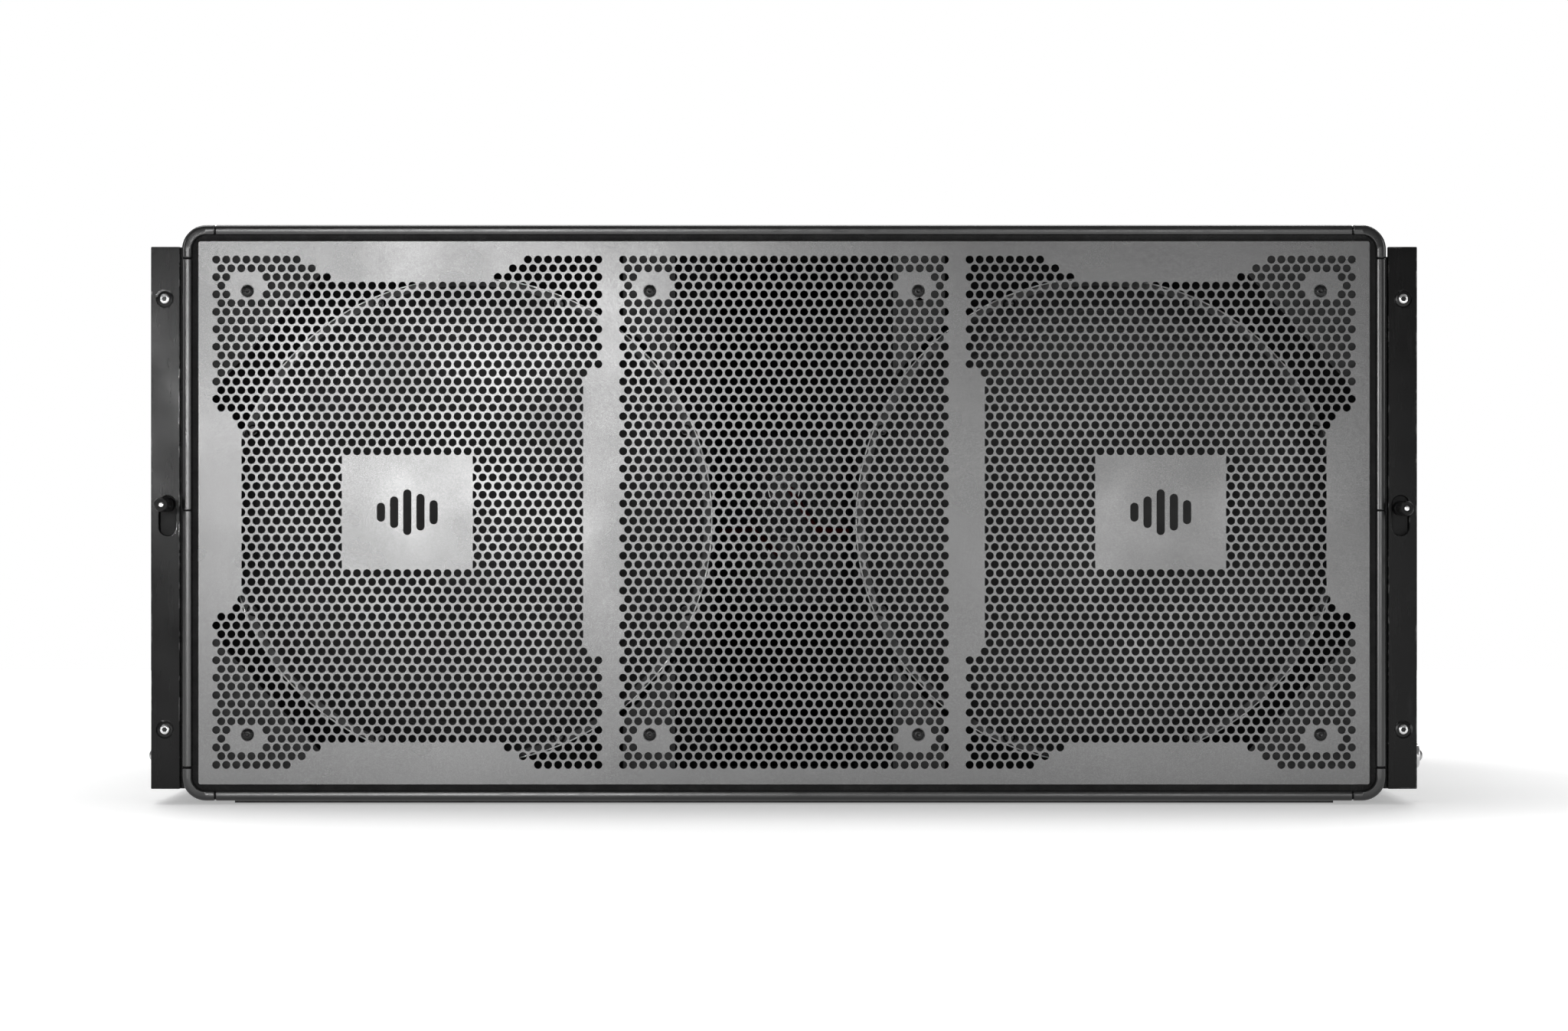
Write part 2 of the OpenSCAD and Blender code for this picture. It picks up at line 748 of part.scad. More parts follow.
// Bar that slides up out of the frame; a long slot rides on the fixed guide bolt
module front_link(side) {
    end_z = [front_link_base_z + link_w / 2, front_eye_z];
    slot_end_z = [guide_bolt_z - link_rise, guide_bolt_z];
    slot_half_w = guide_bolt_r + 0.25;
    color("#75787b") mirrored(side) side_plate(link_in_x, link_in_x + link_t) difference() {
        union() {
            translate([front_link_y - link_w / 2, end_z[0]]) square([link_w, end_z[1] - end_z[0]]);
            for (z = end_z) translate([front_link_y, z]) circle(link_w / 2);
        }
        translate([front_link_y, front_eye_z]) circle(eye_r);
        for (z = slot_end_z) translate([front_link_y, z]) circle(slot_half_w);
        translate([front_link_y - slot_half_w, slot_end_z[0]])
            square([2 * slot_half_w, slot_end_z[1] - slot_end_z[0]]);
    }
}

// Bar that hangs from its pivot bolt and swings forward and up
module rear_link(side) {
    tip_z = rear_pivot[1] - rear_eye_steps[0];
    color("#75787b") mirrored(side) side_plate(link_in_x, link_in_x + link_t) difference() {
        union() {
            translate([rear_pivot[0] - rear_link_w / 2, tip_z])
                square([rear_link_w, rear_pivot[1] - tip_z]);
            for (z = [tip_z, rear_pivot[1]]) translate([rear_pivot[0], z]) circle(rear_link_w / 2);
        }
        translate(rear_pivot) circle(rear_bolt_r + 0.05);
        for (step = rear_eye_steps) translate([rear_pivot[0], rear_pivot[1] - step]) circle(eye_r);
    }
}

module link_bolts() {
    head_h = 5;
    color("#56585b") for (side = [-1, 1]) mirrored(side) {
        cross_rod(half_w + 0.5, frame_half_w + eps, front_link_y, guide_bolt_z, guide_bolt_r);
        cross_rod(frame_half_w, frame_half_w + head_h, front_link_y, guide_bolt_z, 10);
        cross_rod(half_w + 0.5, frame_half_w + eps, rear_pivot[0], rear_pivot[1], rear_bolt_r);
        cross_rod(frame_half_w, frame_half_w + head_h, rear_pivot[0], rear_pivot[1], 11);
    }
}

// Quick-release pin: a bored shank with a round head, and a push button in the bore
module quick_pin(y, z, play) {
    bore_r = button_r + 0.1;
    tip_x = half_w + 1 + play;
    head_x = frame_half_w + play;
    difference() {
        union() {
            cross_rod(tip_x, head_x + eps, y, z, pin_r);
            cross_rod(head_x, head_x + pin_head_h, y, z, pin_head_r);
        }
        cross_rod(head_x - 5, head_x + pin_head_h + 1, y, z, bore_r);
    }
}

module pin_button(y, z, play) {
    tip_x = frame_half_w + play + pin_head_h + button_proud;
    dome_r = 6;
    intersection() {
        cross_rod(frame_half_w + play - 1, tip_x, y, z, button_r);
        translate([tip_x - dome_r, y, z]) union() {
            sphere(dome_r);
            cross_rod(-12, 0, 0, 0, button_r + 1);
        }
    }
}

module latch(side) {
    z = side < 0 ? knob_z_left : knob_z_right;
    carrier = [13, 58];
    tip_y = front_y - knob_reach;
    collar_y = tip_y + 8;
    color("#0b0b0c") mirrored(side) {
        translate([knob_x - carrier[0] / 2, latch_stem_y, z - carrier[1] / 2])
            cube([carrier[0], latch_t, carrier[1]]);
        deep_rod(tip_y, latch_stem_y + eps, knob_x, z, knob_r - 0.6);
        deep_rod(collar_y, latch_stem_y, knob_x, z, knob_r);
    }
}

module handle_cups() {
    color("#1a1b1c") for (side = [-1, 1]) mirrored(side) for (y = grip_y) difference() {
        side_plate(half_w - cup_d, half_w) rounded_outline(y + 0.3, y + grip_size[0] - 0.3,
            grip_z + 0.3, grip_z + grip_size[1] - 0.3, grip_corner_r);
        side_plate(half_w - cup_d + cup_wall, half_w + 1) rounded_outline(y + cup_wall,
            y + grip_size[0] - cup_wall, grip_z + cup_wall, grip_z + grip_size[1] - cup_wall,
            grip_corner_r - cup_wall);
    }
}

module front_pin(side, play) {
    color("#b9bcbf") mirrored(side) quick_pin(front_link_y, front_pin_z, play);
}
module rear_pin(side) {
    color("#b9bcbf") mirrored(side) quick_pin(rear_pivot[0], rear_pin_z, pin_end_play);
}
module front_button(side, play) {
    color("#a02222") mirrored(side) pin_button(front_link_y, front_pin_z, play);
}
module rear_button(side) {
    color("#a02222") mirrored(side) pin_button(rear_pivot[0], rear_pin_z, pin_end_play);
}

top_panel();
bottom_panel();
side_panel(-1);  // side_panel_left
side_panel(1);  // side_panel_right
rear_panel();
front_baffle();
port_walls();
internal_braces();
grille_blocks();
damping_lining();
corner_caps();
edge_trims();
grille();
grille_screws();
skid_runners();
input_plate();
speaker_sockets();
input_plate_screws();
hookup_wires();
basket(-1);  // basket_left
basket(1);  // basket_right
driver_magnets();
motor_plates();
cone(-1);  // cone_left
cone(1);  // cone_right
dust_cap(-1);  // dust_cap_left
dust_cap(1);  // dust_cap_right
voice_coil(-1);  // voice_coil_left
voice_coil(1);  // voice_coil_right
surround(-1);  // surround_left
surround(1);  // surround_right
spider(-1);  // spider_left
spider(1);  // spider_right
driver_gaskets();
driver_bolts();
driver_terminals();
side_frame(-1);  // side_frame_left
side_frame(1);  // side_frame_right
mount_plate(-1);  // mount_plate_left
mount_plate(1);  // mount_plate_right
frame_spacers();
frame_bolts();
flange_screws();
guide_blocks();
front_link(-1);  // front_link_left
front_link(1);  // front_link_right
rear_link(-1);  // rear_link_left
rear_link(1);  // rear_link_right
link_bolts();
front_pin(-1, 0);  // front_pin_left
front_pin(1, pin_end_play);  // front_pin_right
rear_pin(-1);  // rear_pin_left
rear_pin(1);  // rear_pin_right
front_button(-1, 0);  // front_button_left
front_button(1, pin_end_play);  // front_button_right
rear_button(-1);  // rear_button_left
rear_button(1);  // rear_button_right
latch(-1);  // latch_left
latch(1);  // latch_right
handle_cups();
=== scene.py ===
"""The looks of a twin-driver line array subwoofer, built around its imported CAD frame."""

import math

import bmesh
import bpy
from mathutils import Matrix, Vector
from mathutils.geometry import tessellate_polygon


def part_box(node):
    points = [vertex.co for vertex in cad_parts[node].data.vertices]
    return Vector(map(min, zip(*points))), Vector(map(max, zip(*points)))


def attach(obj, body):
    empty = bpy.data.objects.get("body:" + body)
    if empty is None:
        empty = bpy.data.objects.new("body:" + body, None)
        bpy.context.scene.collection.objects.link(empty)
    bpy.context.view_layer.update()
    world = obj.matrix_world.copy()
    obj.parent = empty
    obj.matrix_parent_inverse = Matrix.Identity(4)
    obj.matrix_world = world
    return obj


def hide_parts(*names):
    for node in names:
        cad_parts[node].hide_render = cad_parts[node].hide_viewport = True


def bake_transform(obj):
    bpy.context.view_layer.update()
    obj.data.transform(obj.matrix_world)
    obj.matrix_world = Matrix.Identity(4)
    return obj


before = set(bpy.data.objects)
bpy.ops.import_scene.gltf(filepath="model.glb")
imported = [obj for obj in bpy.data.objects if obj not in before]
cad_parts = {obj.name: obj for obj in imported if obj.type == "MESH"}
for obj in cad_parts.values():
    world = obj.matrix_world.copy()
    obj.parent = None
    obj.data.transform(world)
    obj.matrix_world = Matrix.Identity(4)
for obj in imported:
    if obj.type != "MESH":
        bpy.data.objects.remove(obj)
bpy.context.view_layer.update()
MM = 0.001
SIDES = {"left": -1, "right": 1}


# ---------- camera, light and stage ----------

FRONT_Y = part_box("edge_trims")[0].y
CAMERA_REACH = 3.40
FRONT_WIDTH = 1.2362
CAMERA_Z = 0.2279
SENSOR = 36.0


def make_camera():
    data = bpy.data.cameras.new("camera")
    data.sensor_width = SENSOR
    data.lens = SENSOR * CAMERA_REACH / FRONT_WIDTH
    data.clip_start, data.clip_end = 0.05, 100
    camera = bpy.data.objects.new("camera", data)
    camera.location = (0, FRONT_Y - CAMERA_REACH, CAMERA_Z)
    camera.rotation_euler = (math.pi / 2, 0, 0)
    bpy.context.scene.collection.objects.link(camera)
    bpy.context.scene.camera = camera


def softbox(name, at, target, size, power):
    data = bpy.data.lights.new(name, "AREA")
    data.shape = "RECTANGLE"
    data.size, data.size_y = size
    data.energy = power
    light = bpy.data.objects.new(name, data)
    light.location = at
    light.rotation_euler = (Vector(target) - Vector(at)).to_track_quat("-Z", "Y").to_euler()
    bpy.context.scene.collection.objects.link(light)


def make_light():
    """White background for the lens, dim room for the reflections, and softboxes."""
    scene = bpy.context.scene
    scene.view_settings.view_transform = "Standard"
    world = bpy.data.worlds.new("studio")
    world.use_nodes = True
    tree = world.node_tree
    room = tree.nodes["Background"]
    room.inputs["Color"].default_value = (1, 1, 1, 1)
    room.inputs["Strength"].default_value = 0.20
    paper = tree.nodes.new("ShaderNodeBackground")
    paper.inputs["Color"].default_value = (1, 1, 1, 1)
    choice = tree.nodes.new("ShaderNodeMixShader")
    tree.links.new(tree.nodes.new("ShaderNodeLightPath").outputs["Is Camera Ray"], choice.inputs[0])
    tree.links.new(room.outputs[0], choice.inputs[1])
    tree.links.new(paper.outputs[0], choice.inputs[2])
    tree.links.new(choice.outputs[0], tree.nodes["World Output"].inputs["Surface"])
    scene.world = world
    softbox("key", (-0.46, -3.7, 0.42), (-0.25, -0.35, 0.31), (0.54, 0.66), 14)
    softbox("fill", (0.60, -3.7, 0.24), (0.30, -0.35, 0.22), (0.50, 0.50), 4.2)
    softbox("edge", (-1.03, -3.7, 0.41), (-0.49, -0.35, 0.31), (0.10, 0.16), 4.5)
    softbox("top", (-0.2, 0.25, 2.1), (-0.1, -0.05, 0.0), (2.2, 0.9), 34)
    softbox("side_left", (-2.2, 0.3, 2.6), (-0.4, 0, 0.1), (1.8, 1.8), 10)
    softbox("side_right", (2.2, 0.3, 2.6), (0.4, 0, 0.1), (1.8, 1.8), 9)
    softbox("wing_left", (-3.2, -2.0, 1.0), (0, -0.3, 0.2), (1.4, 1.2), 16)
    softbox("wing_right", (3.2, -2.0, 1.0), (0, -0.3, 0.2), (1.4, 1.2), 16)
    softbox("back_left", (-1.6, 3.0, 1.5), (0, 0.3, 0.2), (1.4, 1.2), 34)
    softbox("back_right", (1.6, 3.0, 1.5), (0, 0.3, 0.2), (1.4, 1.2), 22)


# ---------- materials ----------


class Shader:
    """A material under construction: node() adds a node and links or sets its inputs."""

    def __init__(self, name):
        self.material = bpy.data.materials.new(name)
        self.material.use_nodes = True
        self.tree = self.material.node_tree
        self.bsdf = self.tree.nodes["Principled BSDF"]
        self.coords = self.node("ShaderNodeTexCoord").outputs["Object"]

    def node(self, kind, inputs=None, **settings):
        made = self.tree.nodes.new(kind)
        for key, value in settings.items():
            setattr(made, key, value)
        self.connect(made, inputs or {})
        return made

    def connect(self, node, inputs):
        for key, value in inputs.items():
            if isinstance(value, bpy.types.NodeSocket):
                self.tree.links.new(value, node.inputs[key])
            else:
                node.inputs[key].default_value = value

    def surface(self, **inputs):
        self.connect(self.bsdf, {k.replace("_", " "): v for k, v in inputs.items()})

    def noise(self, scale, detail=4.0, rough=0.5, stretch=None):
        vector = self.coords
        if stretch:
            vector = self.node("ShaderNodeMapping", {"Vector": vector, "Scale": stretch}).outputs[0]
        return self.node(
            "ShaderNodeTexNoise", {"Vector": vector, "Scale": scale, "Detail": detail, "Roughness": rough}
        ).outputs["Fac"]

    def cells(self, scale):
        return self.node("ShaderNodeTexVoronoi", {"Vector": self.coords, "Scale": scale}).outputs["Distance"]

    def ramp(self, value, low, high, to_low=0.0, to_high=1.0):
        return self.node(
            "ShaderNodeMapRange",
            {"Value": value, "From Min": low, "From Max": high, "To Min": to_low, "To Max": to_high},
        ).outputs["Result"]

    def math(self, operation, a, b=0.0):
        return self.node("ShaderNodeMath", {0: a, 1: b}, operation=operation).outputs[0]

    def blend(self, amount, a, b):
        mix = self.node("ShaderNodeMix", data_type="RGBA")
        for key, value in (("Factor", amount), ("A", a), ("B", b)):
            socket = next(s for s in mix.inputs if s.name == key and s.enabled)
            if isinstance(value, bpy.types.NodeSocket):
                self.tree.links.new(value, socket)
            else:
                socket.default_value = value
        return next(s for s in mix.outputs if s.enabled)

    def bump(self, height, distance, strength=1.0, below=None):
        inputs = {"Height": height, "Distance": distance, "Strength": strength}
        if below is not None:
            inputs["Normal"] = below
        return self.node("ShaderNodeBump", inputs).outputs["Normal"]

    def edges(self, radius, low=0.02, high=0.16):
        """Near 1 along edges, out to about radius from them, and 0 on open faces."""
        rounded = self.node("ShaderNodeBevel", {"Radius": radius}, samples=4).outputs["Normal"]
        true = self.node("ShaderNodeNewGeometry").outputs["Normal"]
        dot = self.node("ShaderNodeVectorMath", {0: rounded, 1: true}, operation="DOT_PRODUCT")
        return self.ramp(self.math("SUBTRACT", 1.0, dot.outputs["Value"]), low, high)


def grey(value, warm=0.0):
    return (value * (1 + warm), value, value * (1 - warm), 1)


def textured_paint():
    """Thick two-part cabinet paint, sprayed on in beads about a millimetre across."""
    s = Shader("cabinet_paint")
    beads = s.ramp(s.cells(760), 0.1, 0.75, 1, 0)
    coarse = s.noise(330, 5)
    height = s.math("ADD", s.math("MULTIPLY", beads, 0.6), coarse)
    dust = s.ramp(s.noise(5, 6), 0.35, 0.75)
    rub = s.math("MULTIPLY", s.edges(0.004), s.ramp(s.noise(60, 8), 0.5, 0.68))
    color = s.blend(dust, grey(0.010), grey(0.017))
    color = s.blend(s.math("MULTIPLY", rub, 0.5), color, grey(0.07))
    s.surface(
        Base_Color=color,
        Roughness=s.ramp(s.noise(90, 3), 0.3, 0.7, 0.5, 0.68),
        Specular_IOR_Level=0.3,
        Normal=s.bump(height, 0.0007, 0.55),
    )
    return s.material


def flat_paint_and_shade():
    s = Shader("baffle_paint")
    # Flat black baffle paint, darker than real paint: partly painted shade for the gap round the grille and
    # the recess behind it.
    s.surface(
        Base_Color=s.blend(s.ramp(s.noise(9, 6), 0.3, 0.75), grey(0.003), grey(0.007)),
        Roughness=s.ramp(s.noise(120, 3), 0.3, 0.7, 0.62, 0.8),
        Specular_IOR_Level=0.15,
        Normal=s.bump(s.noise(900, 4), 0.0002, 0.5),
    )
    return s.material


def grille_coat():
    """Grey satin powder coat: a faint orange peel and slow changes in its sheen."""
    s = Shader("grille_steel")
    peel = s.bump(s.noise(1500, 3), 0.00004, 0.2)
    peel = s.bump(s.noise(170, 2), 0.0004, 0.08, peel)
    cloud = s.ramp(s.noise(4.5, 4, 0.5), 0.3, 0.72)
    specks = s.ramp(s.noise(1300, 2), 0.45, 0.75)
    color = s.blend(cloud, grey(0.115), grey(0.15))
    s.surface(
        Base_Color=s.blend(s.math("MULTIPLY", specks, 0.3), color, grey(0.3)),
        Metallic=0.75,
        Roughness=s.ramp(s.noise(14, 3), 0.3, 0.7, 0.22, 0.29),
        Normal=peel,
    )
    return s.material


def frame_coat():
    """Black powder coat on steel plate, rubbed through in places along its edges."""
    s = Shader("frame_steel")
    peel = s.bump(s.noise(1100, 3), 0.00005, 0.22)
    rub = s.math("MULTIPLY", s.edges(0.0018, 0.03, 0.12), s.ramp(s.noise(75, 9, 0.65), 0.53, 0.62))
    scuffs = s.ramp(s.noise(26, 6, 0.6, (6, 6, 0.7)), 0.55, 0.72)
    color = s.blend(s.math("MULTIPLY", scuffs, 0.4), grey(0.004), grey(0.016))
    s.surface(
        Base_Color=s.blend(rub, color, grey(0.3)),
        Metallic=s.math("MULTIPLY", rub, 0.9),
        Roughness=s.ramp(s.noise(30, 6), 0.3, 0.7, 0.15, 0.22),
        Specular_IOR_Level=0.16,
        Normal=peel,
    )
    return s.material


def moulded_black(name, value, low, high, grain=1400, specular=0.5):
    s = Shader(name)
    s.surface(
        Base_Color=s.blend(s.ramp(s.noise(25, 5), 0.35, 0.7), grey(value), grey(value * 1.7)),
        Roughness=s.ramp(s.noise(70, 5), 0.3, 0.7, low, high),
        Specular_IOR_Level=specular,
        Normal=s.bump(s.noise(grain, 3), 0.00005, 0.25),
    )
    return s.material


def metal(name, value, low, high, stretch=(1, 1, 1), warm=0.0, tarnish=0.35):
    """Bare or plated metal: fine brushing along one direction and cloudy tarnish."""
    s = Shader(name)
    lines = s.noise(900, 2, 0.6, stretch)
    cloud = s.ramp(s.noise(40, 7, 0.6), 0.42, 0.75)
    s.surface(
        Base_Color=s.blend(s.math("MULTIPLY", cloud, tarnish), grey(value, warm), grey(value * 0.4, warm)),
        Metallic=1.0,
        Roughness=s.ramp(s.noise(120, 4), 0.3, 0.7, low, high),
        Normal=s.bump(lines, 0.00005, 0.35),
    )
    return s.material


def cone_paper():
    """Pressed pulp: fibres, faint blotches and a dull coat."""
    s = Shader("cone_paper")
    fibres = s.noise(420, 6, 0.75, (1, 1, 3))
    s.surface(
        Base_Color=s.blend(s.ramp(fibres, 0.35, 0.75), grey(0.022), grey(0.06, 0.02)),
        Roughness=s.ramp(s.noise(60, 4), 0.3, 0.7, 0.6, 0.8),
        Normal=s.bump(fibres, 0.0003, 0.6),
    )
    return s.material


def cloth(name, dark, light, rough):
    """Open weave held stiff by resin: two crossing sets of threads."""
    s = Shader(name)
    waves = [
        s.node(
            "ShaderNodeTexWave",
            {"Vector": s.coords, "Scale": 620.0, "Distortion": 0.6, "Detail": 1.0},
            bands_direction=axis,
        ).outputs["Fac"]
        for axis in ("X", "Z")
    ]
    weave = s.math("MULTIPLY", waves[0], waves[1])
    s.surface(
        Base_Color=s.blend(s.ramp(weave, 0.1, 0.8), dark, light),
        Roughness=rough,
        Sheen_Weight=0.25,
        Normal=s.bump(weave, 0.0003, 0.7),
    )
    return s.material


def birch_plywood():
    """Plies show as bands on the cut edges, and long grain on the faces."""
    s = Shader("birch_ply")
    grain = s.noise(60, 9, 0.65, (1, 1, 14))
    plies = s.node(
        "ShaderNodeTexWave", {"Vector": s.coords, "Scale": 110.0, "Distortion": 0.3}, bands_direction="Y"
    ).outputs["Fac"]
    tone = s.math("ADD", s.math("MULTIPLY", grain, 0.6), s.math("MULTIPLY", plies, 0.4))
    s.surface(
        Base_Color=s.blend(s.ramp(tone, 0.3, 0.8), (0.36, 0.23, 0.11, 1), (0.68, 0.52, 0.32, 1)),
        Roughness=s.ramp(grain, 0.3, 0.7, 0.5, 0.7),
        Normal=s.bump(grain, 0.0002, 0.4),
    )
    return s.material


def wadding():
    s = Shader("wadding")
    fibres = s.noise(300, 10, 0.8)
    s.surface(
        Base_Color=s.blend(s.ramp(fibres, 0.3, 0.7), grey(0.35), grey(0.62)),
        Roughness=0.95,
        Sheen_Weight=0.5,
        Normal=s.bump(fibres, 0.003, 0.9),
    )
    return s.material


def coil_winding():
    s = Shader("coil_copper")
    turns = s.node(
        "ShaderNodeTexWave", {"Vector": s.coords, "Scale": 900.0}, bands_direction="Y"
    ).outputs["Fac"]
    s.surface(
        Base_Color=s.blend(turns, (0.28, 0.09, 0.03, 1), (0.75, 0.36, 0.16, 1)),
        Metallic=0.9,
        Roughness=s.ramp(s.noise(80, 4), 0.3, 0.7, 0.25, 0.4),
        Normal=s.bump(turns, 0.0002, 0.6),
    )
    return s.material


def coloured_plastic(name, dark, light):
    s = Shader(name)
    s.surface(
        Base_Color=s.blend(s.ramp(s.noise(40, 5), 0.35, 0.7), dark, light),
        Roughness=s.ramp(s.noise(90, 4), 0.3, 0.7, 0.28, 0.42),
        Normal=s.bump(s.noise(1200, 2), 0.0001, 0.3),
    )
    return s.material


def studio_floor():
    """Pale paper with a painted glow, dim near the middle and growing with the distance from it."""
    s = Shader("studio_floor")
    away = s.node("ShaderNodeVectorMath", {0: s.coords}, operation="LENGTH").outputs["Value"]
    tone = s.ramp(s.noise(3, 5), 0.3, 0.7)
    # The emission below is a painted glow: the floor lights itself, least near the box and most far from it.
    s.surface(
        Base_Color=s.blend(tone, grey(0.76), grey(0.80)),
        Roughness=0.7,
        Specular_IOR_Level=0.1,
        Normal=s.bump(s.noise(400, 4), 0.0003, 0.1),
        Emission_Color=(1, 1, 1, 1),
        Emission_Strength=s.ramp(away, 0.6, 2.2, 0.36, 1.0),
    )
    return s.material


MATERIALS = {
    "cabinet_paint": textured_paint(),
    "baffle_paint": flat_paint_and_shade(),
    "birch_ply": birch_plywood(),
    "wadding": wadding(),
    "trim_plastic": moulded_black("trim_plastic", 0.005, 0.18, 0.26, specular=0.8),
    "grille_steel": grille_coat(),
    "black_screws": moulded_black("black_screws", 0.006, 0.2, 0.3, specular=0.3),
    "skid_plastic": moulded_black("skid_plastic", 0.02, 0.45, 0.6, 700),
    "frame_steel": frame_coat(),
    "socket_plastic": moulded_black("socket_plastic", 0.02, 0.25, 0.36),
    "zinc_screws": metal("zinc_screws", 0.8, 0.18, 0.3, tarnish=0.2),
    "wire_jacket": coloured_plastic("wire_jacket", (0.22, 0.015, 0.015, 1), (0.34, 0.03, 0.025, 1)),
    "cast_basket": moulded_black("cast_basket", 0.022, 0.36, 0.5, 500),
    "magnet": moulded_black("magnet", 0.045, 0.42, 0.55, 400),
    "motor_steel": metal("motor_steel", 0.62, 0.25, 0.4),
    "gasket_rubber": moulded_black("gasket_rubber", 0.008, 0.6, 0.75, 900, 0.2),
    "terminal_plastic": coloured_plastic(
        "terminal_plastic", (0.28, 0.015, 0.015, 1), (0.4, 0.025, 0.02, 1)
    ),
    "link_steel": metal("link_steel", 0.55, 0.28, 0.42, (1, 1, 0.05), 0.015),
    "pin_steel": metal("pin_steel", 0.72, 0.14, 0.26, (0.05, 1, 1)),
    "pin_button": metal("pin_button", 0.5, 0.25, 0.35),
    "knob_black": moulded_black("knob_black", 0.003, 0.38, 0.5, specular=0.2),
    "cone_paper": cone_paper(),
    "coil_copper": coil_winding(),
    "surround_cloth": cloth("surround_cloth", grey(0.012), grey(0.035), 0.62),
    "spider_cloth": cloth("spider_cloth", (0.30, 0.17, 0.05, 1), (0.62, 0.42, 0.17, 1), 0.7),
}


def block_paint_and_shade():
    """Thin primer on the blocks that carry the grille, darkened almost to black as painted shade for the
    recess behind the perforated sheet.
    """
    s = Shader("block_paint_and_shade")
    strokes = s.noise(35, 7, 0.6, (1, 1, 5))
    # The near-black tone is partly painted shade for the recess behind the grille.
    s.surface(
        Base_Color=s.blend(s.ramp(strokes, 0.35, 0.7), grey(0.008), grey(0.022)),
        Roughness=s.ramp(s.noise(80, 4), 0.3, 0.7, 0.5, 0.7),
        Specular_IOR_Level=0.25,
        Normal=s.bump(strokes, 0.0004, 0.4),
    )
    return s.material


def paint_cad_nodes():
    """Each CAD node keeps its shape and takes the procedural material of its record slot."""
    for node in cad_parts.values():
        for place in node.material_slots:
            place.material = MATERIALS[place.material.name.split(".")[0]]
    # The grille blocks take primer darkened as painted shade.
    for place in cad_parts["grille_blocks"].material_slots:
        place.material = block_paint_and_shade()


# ---------- mesh tools ----------

CREASE_ANGLE = 35
FLAT_ANGLE = 4
MUCH_LARGER = 7
WELD = 0.001 * MM


def smooth(mesh, angle=CREASE_ANGLE, crisp=None):
    """Rounded edges shade smooth, and sharp ones stay hard.

    So do the rims of faces much larger than their neighbours, and of the faces that crisp picks out.
    """
    mesh.shade_smooth()
    build = bmesh.new()
    build.from_mesh(mesh)
    area = {face: face.calc_area() for face in build.faces}
    for edge in build.edges:
        if len(edge.link_faces) == 2:
            a, b = edge.link_faces
            turn = math.degrees(edge.calc_face_angle(0))
            small, large = sorted((area[a], area[b]))
            rim = large > MUCH_LARGER * small or (crisp and crisp(a) != crisp(b))
            edge.smooth = turn < angle and (turn < FLAT_ANGLE or not rim)
    build.to_mesh(mesh)
    build.free()


def faces_front(face):
    straight = 0.9999
    return abs(face.normal.y) > straight


def piece(name, verts, faces, slot, body="box", replaces=(), angle=CREASE_ANGLE, crisp=None):
    """A new object that rides on a body, and stands for the CAD nodes that it replaces."""
    mesh = bpy.data.meshes.new(name)
    mesh.from_pydata([tuple(v) for v in verts], [], faces)
    build = bmesh.new()
    build.from_mesh(mesh)
    bmesh.ops.recalc_face_normals(build, faces=build.faces)
    build.to_mesh(mesh)
    build.free()
    smooth(mesh, angle, crisp=crisp)
    mesh.materials.append(MATERIALS[slot])
    made = bpy.data.objects.new(name, mesh)
    bpy.context.scene.collection.objects.link(made)
    if body:
        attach(made, body)
    if replaces:
        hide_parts(*replaces)
    return made


def islands(node):
    """(lowest, highest corner) of each separate solid of a CAD node."""
    build = bmesh.new()
    build.from_mesh(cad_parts[node].data)
    bmesh.ops.remove_doubles(build, verts=build.verts, dist=WELD)
    left, found = set(build.verts), []
    while left:
        todo, seen = [left.pop()], []
        while todo:
            vert = todo.pop()
            seen.append(vert.co.copy())
            for edge in vert.link_edges:
                other = edge.other_vert(vert)
                if other in left:
                    left.discard(other)
                    todo.append(other)
        found.append((Vector(map(min, zip(*seen))), Vector(map(max, zip(*seen)))))
    build.free()
    return sorted(found, key=lambda box: tuple(round(c, 5) for c in box[0]))


def stacked(loops, closed=False):
    """A solid through loops of equally many points. If it is closed, the last loop meets the first."""
    count, size = len(loops), len(loops[0])
    faces = []
    for a in range(count if closed else count - 1):
        b = (a + 1) % count
        for i in range(size):
            j = (i + 1) % size
            faces.append((a * size + i, a * size + j, b * size + j, b * size + i))
    if not closed:
        faces.append(tuple(range(size))[::-1])
        faces.append(tuple((count - 1) * size + i for i in range(size)))
    return [point for loop in loops for point in loop], faces


def ring_solid(rings, sides, place, closed=False):
    """A solid of rings, each (outline, height). An outline is a radius or a function of the angle."""
    turns = [math.tau * i / sides for i in range(sides)]
    loops = []
    for outline, height in rings:
        radii = [outline(t) if callable(outline) else outline for t in turns]
        flat = [(r * math.cos(t), r * math.sin(t), height) for r, t in zip(radii, turns)]
        loops.append([place @ Vector(point) for point in flat])
    return stacked(loops, closed)


def scaled(points):
    """Points in millimetres, in metres."""
    return [tuple(c * MM for c in point) for point in points]


def joined(parts):
    """Several (verts, faces) as one."""
    verts, faces = [], []
    for more_verts, more_faces in parts:
        base = len(verts)
        verts.extend(more_verts)
        faces.extend(tuple(i + base for i in face) for face in more_faces)
    return verts, faces


def facing(origin, direction):
    """Local +Z points along direction, and local Y stays as near to up as it can."""
    z = Vector(direction).normalized()
    up = Vector((0, 0, 1)) if abs(z.z) < 0.9 else Vector((0, 1, 0))
    x = up.cross(z).normalized()
    y = z.cross(x)
    turn = Matrix((x, y, z)).transposed().to_4x4()
    return Matrix.Translation(origin) @ turn


def hexagon(flat_r):
    """The outline of a hexagon that is 2 flat_r wide across its flats."""
    return lambda turn: flat_r / math.cos((turn % (math.pi / 3)) - math.pi / 6)


SCREW_SIDES = 36


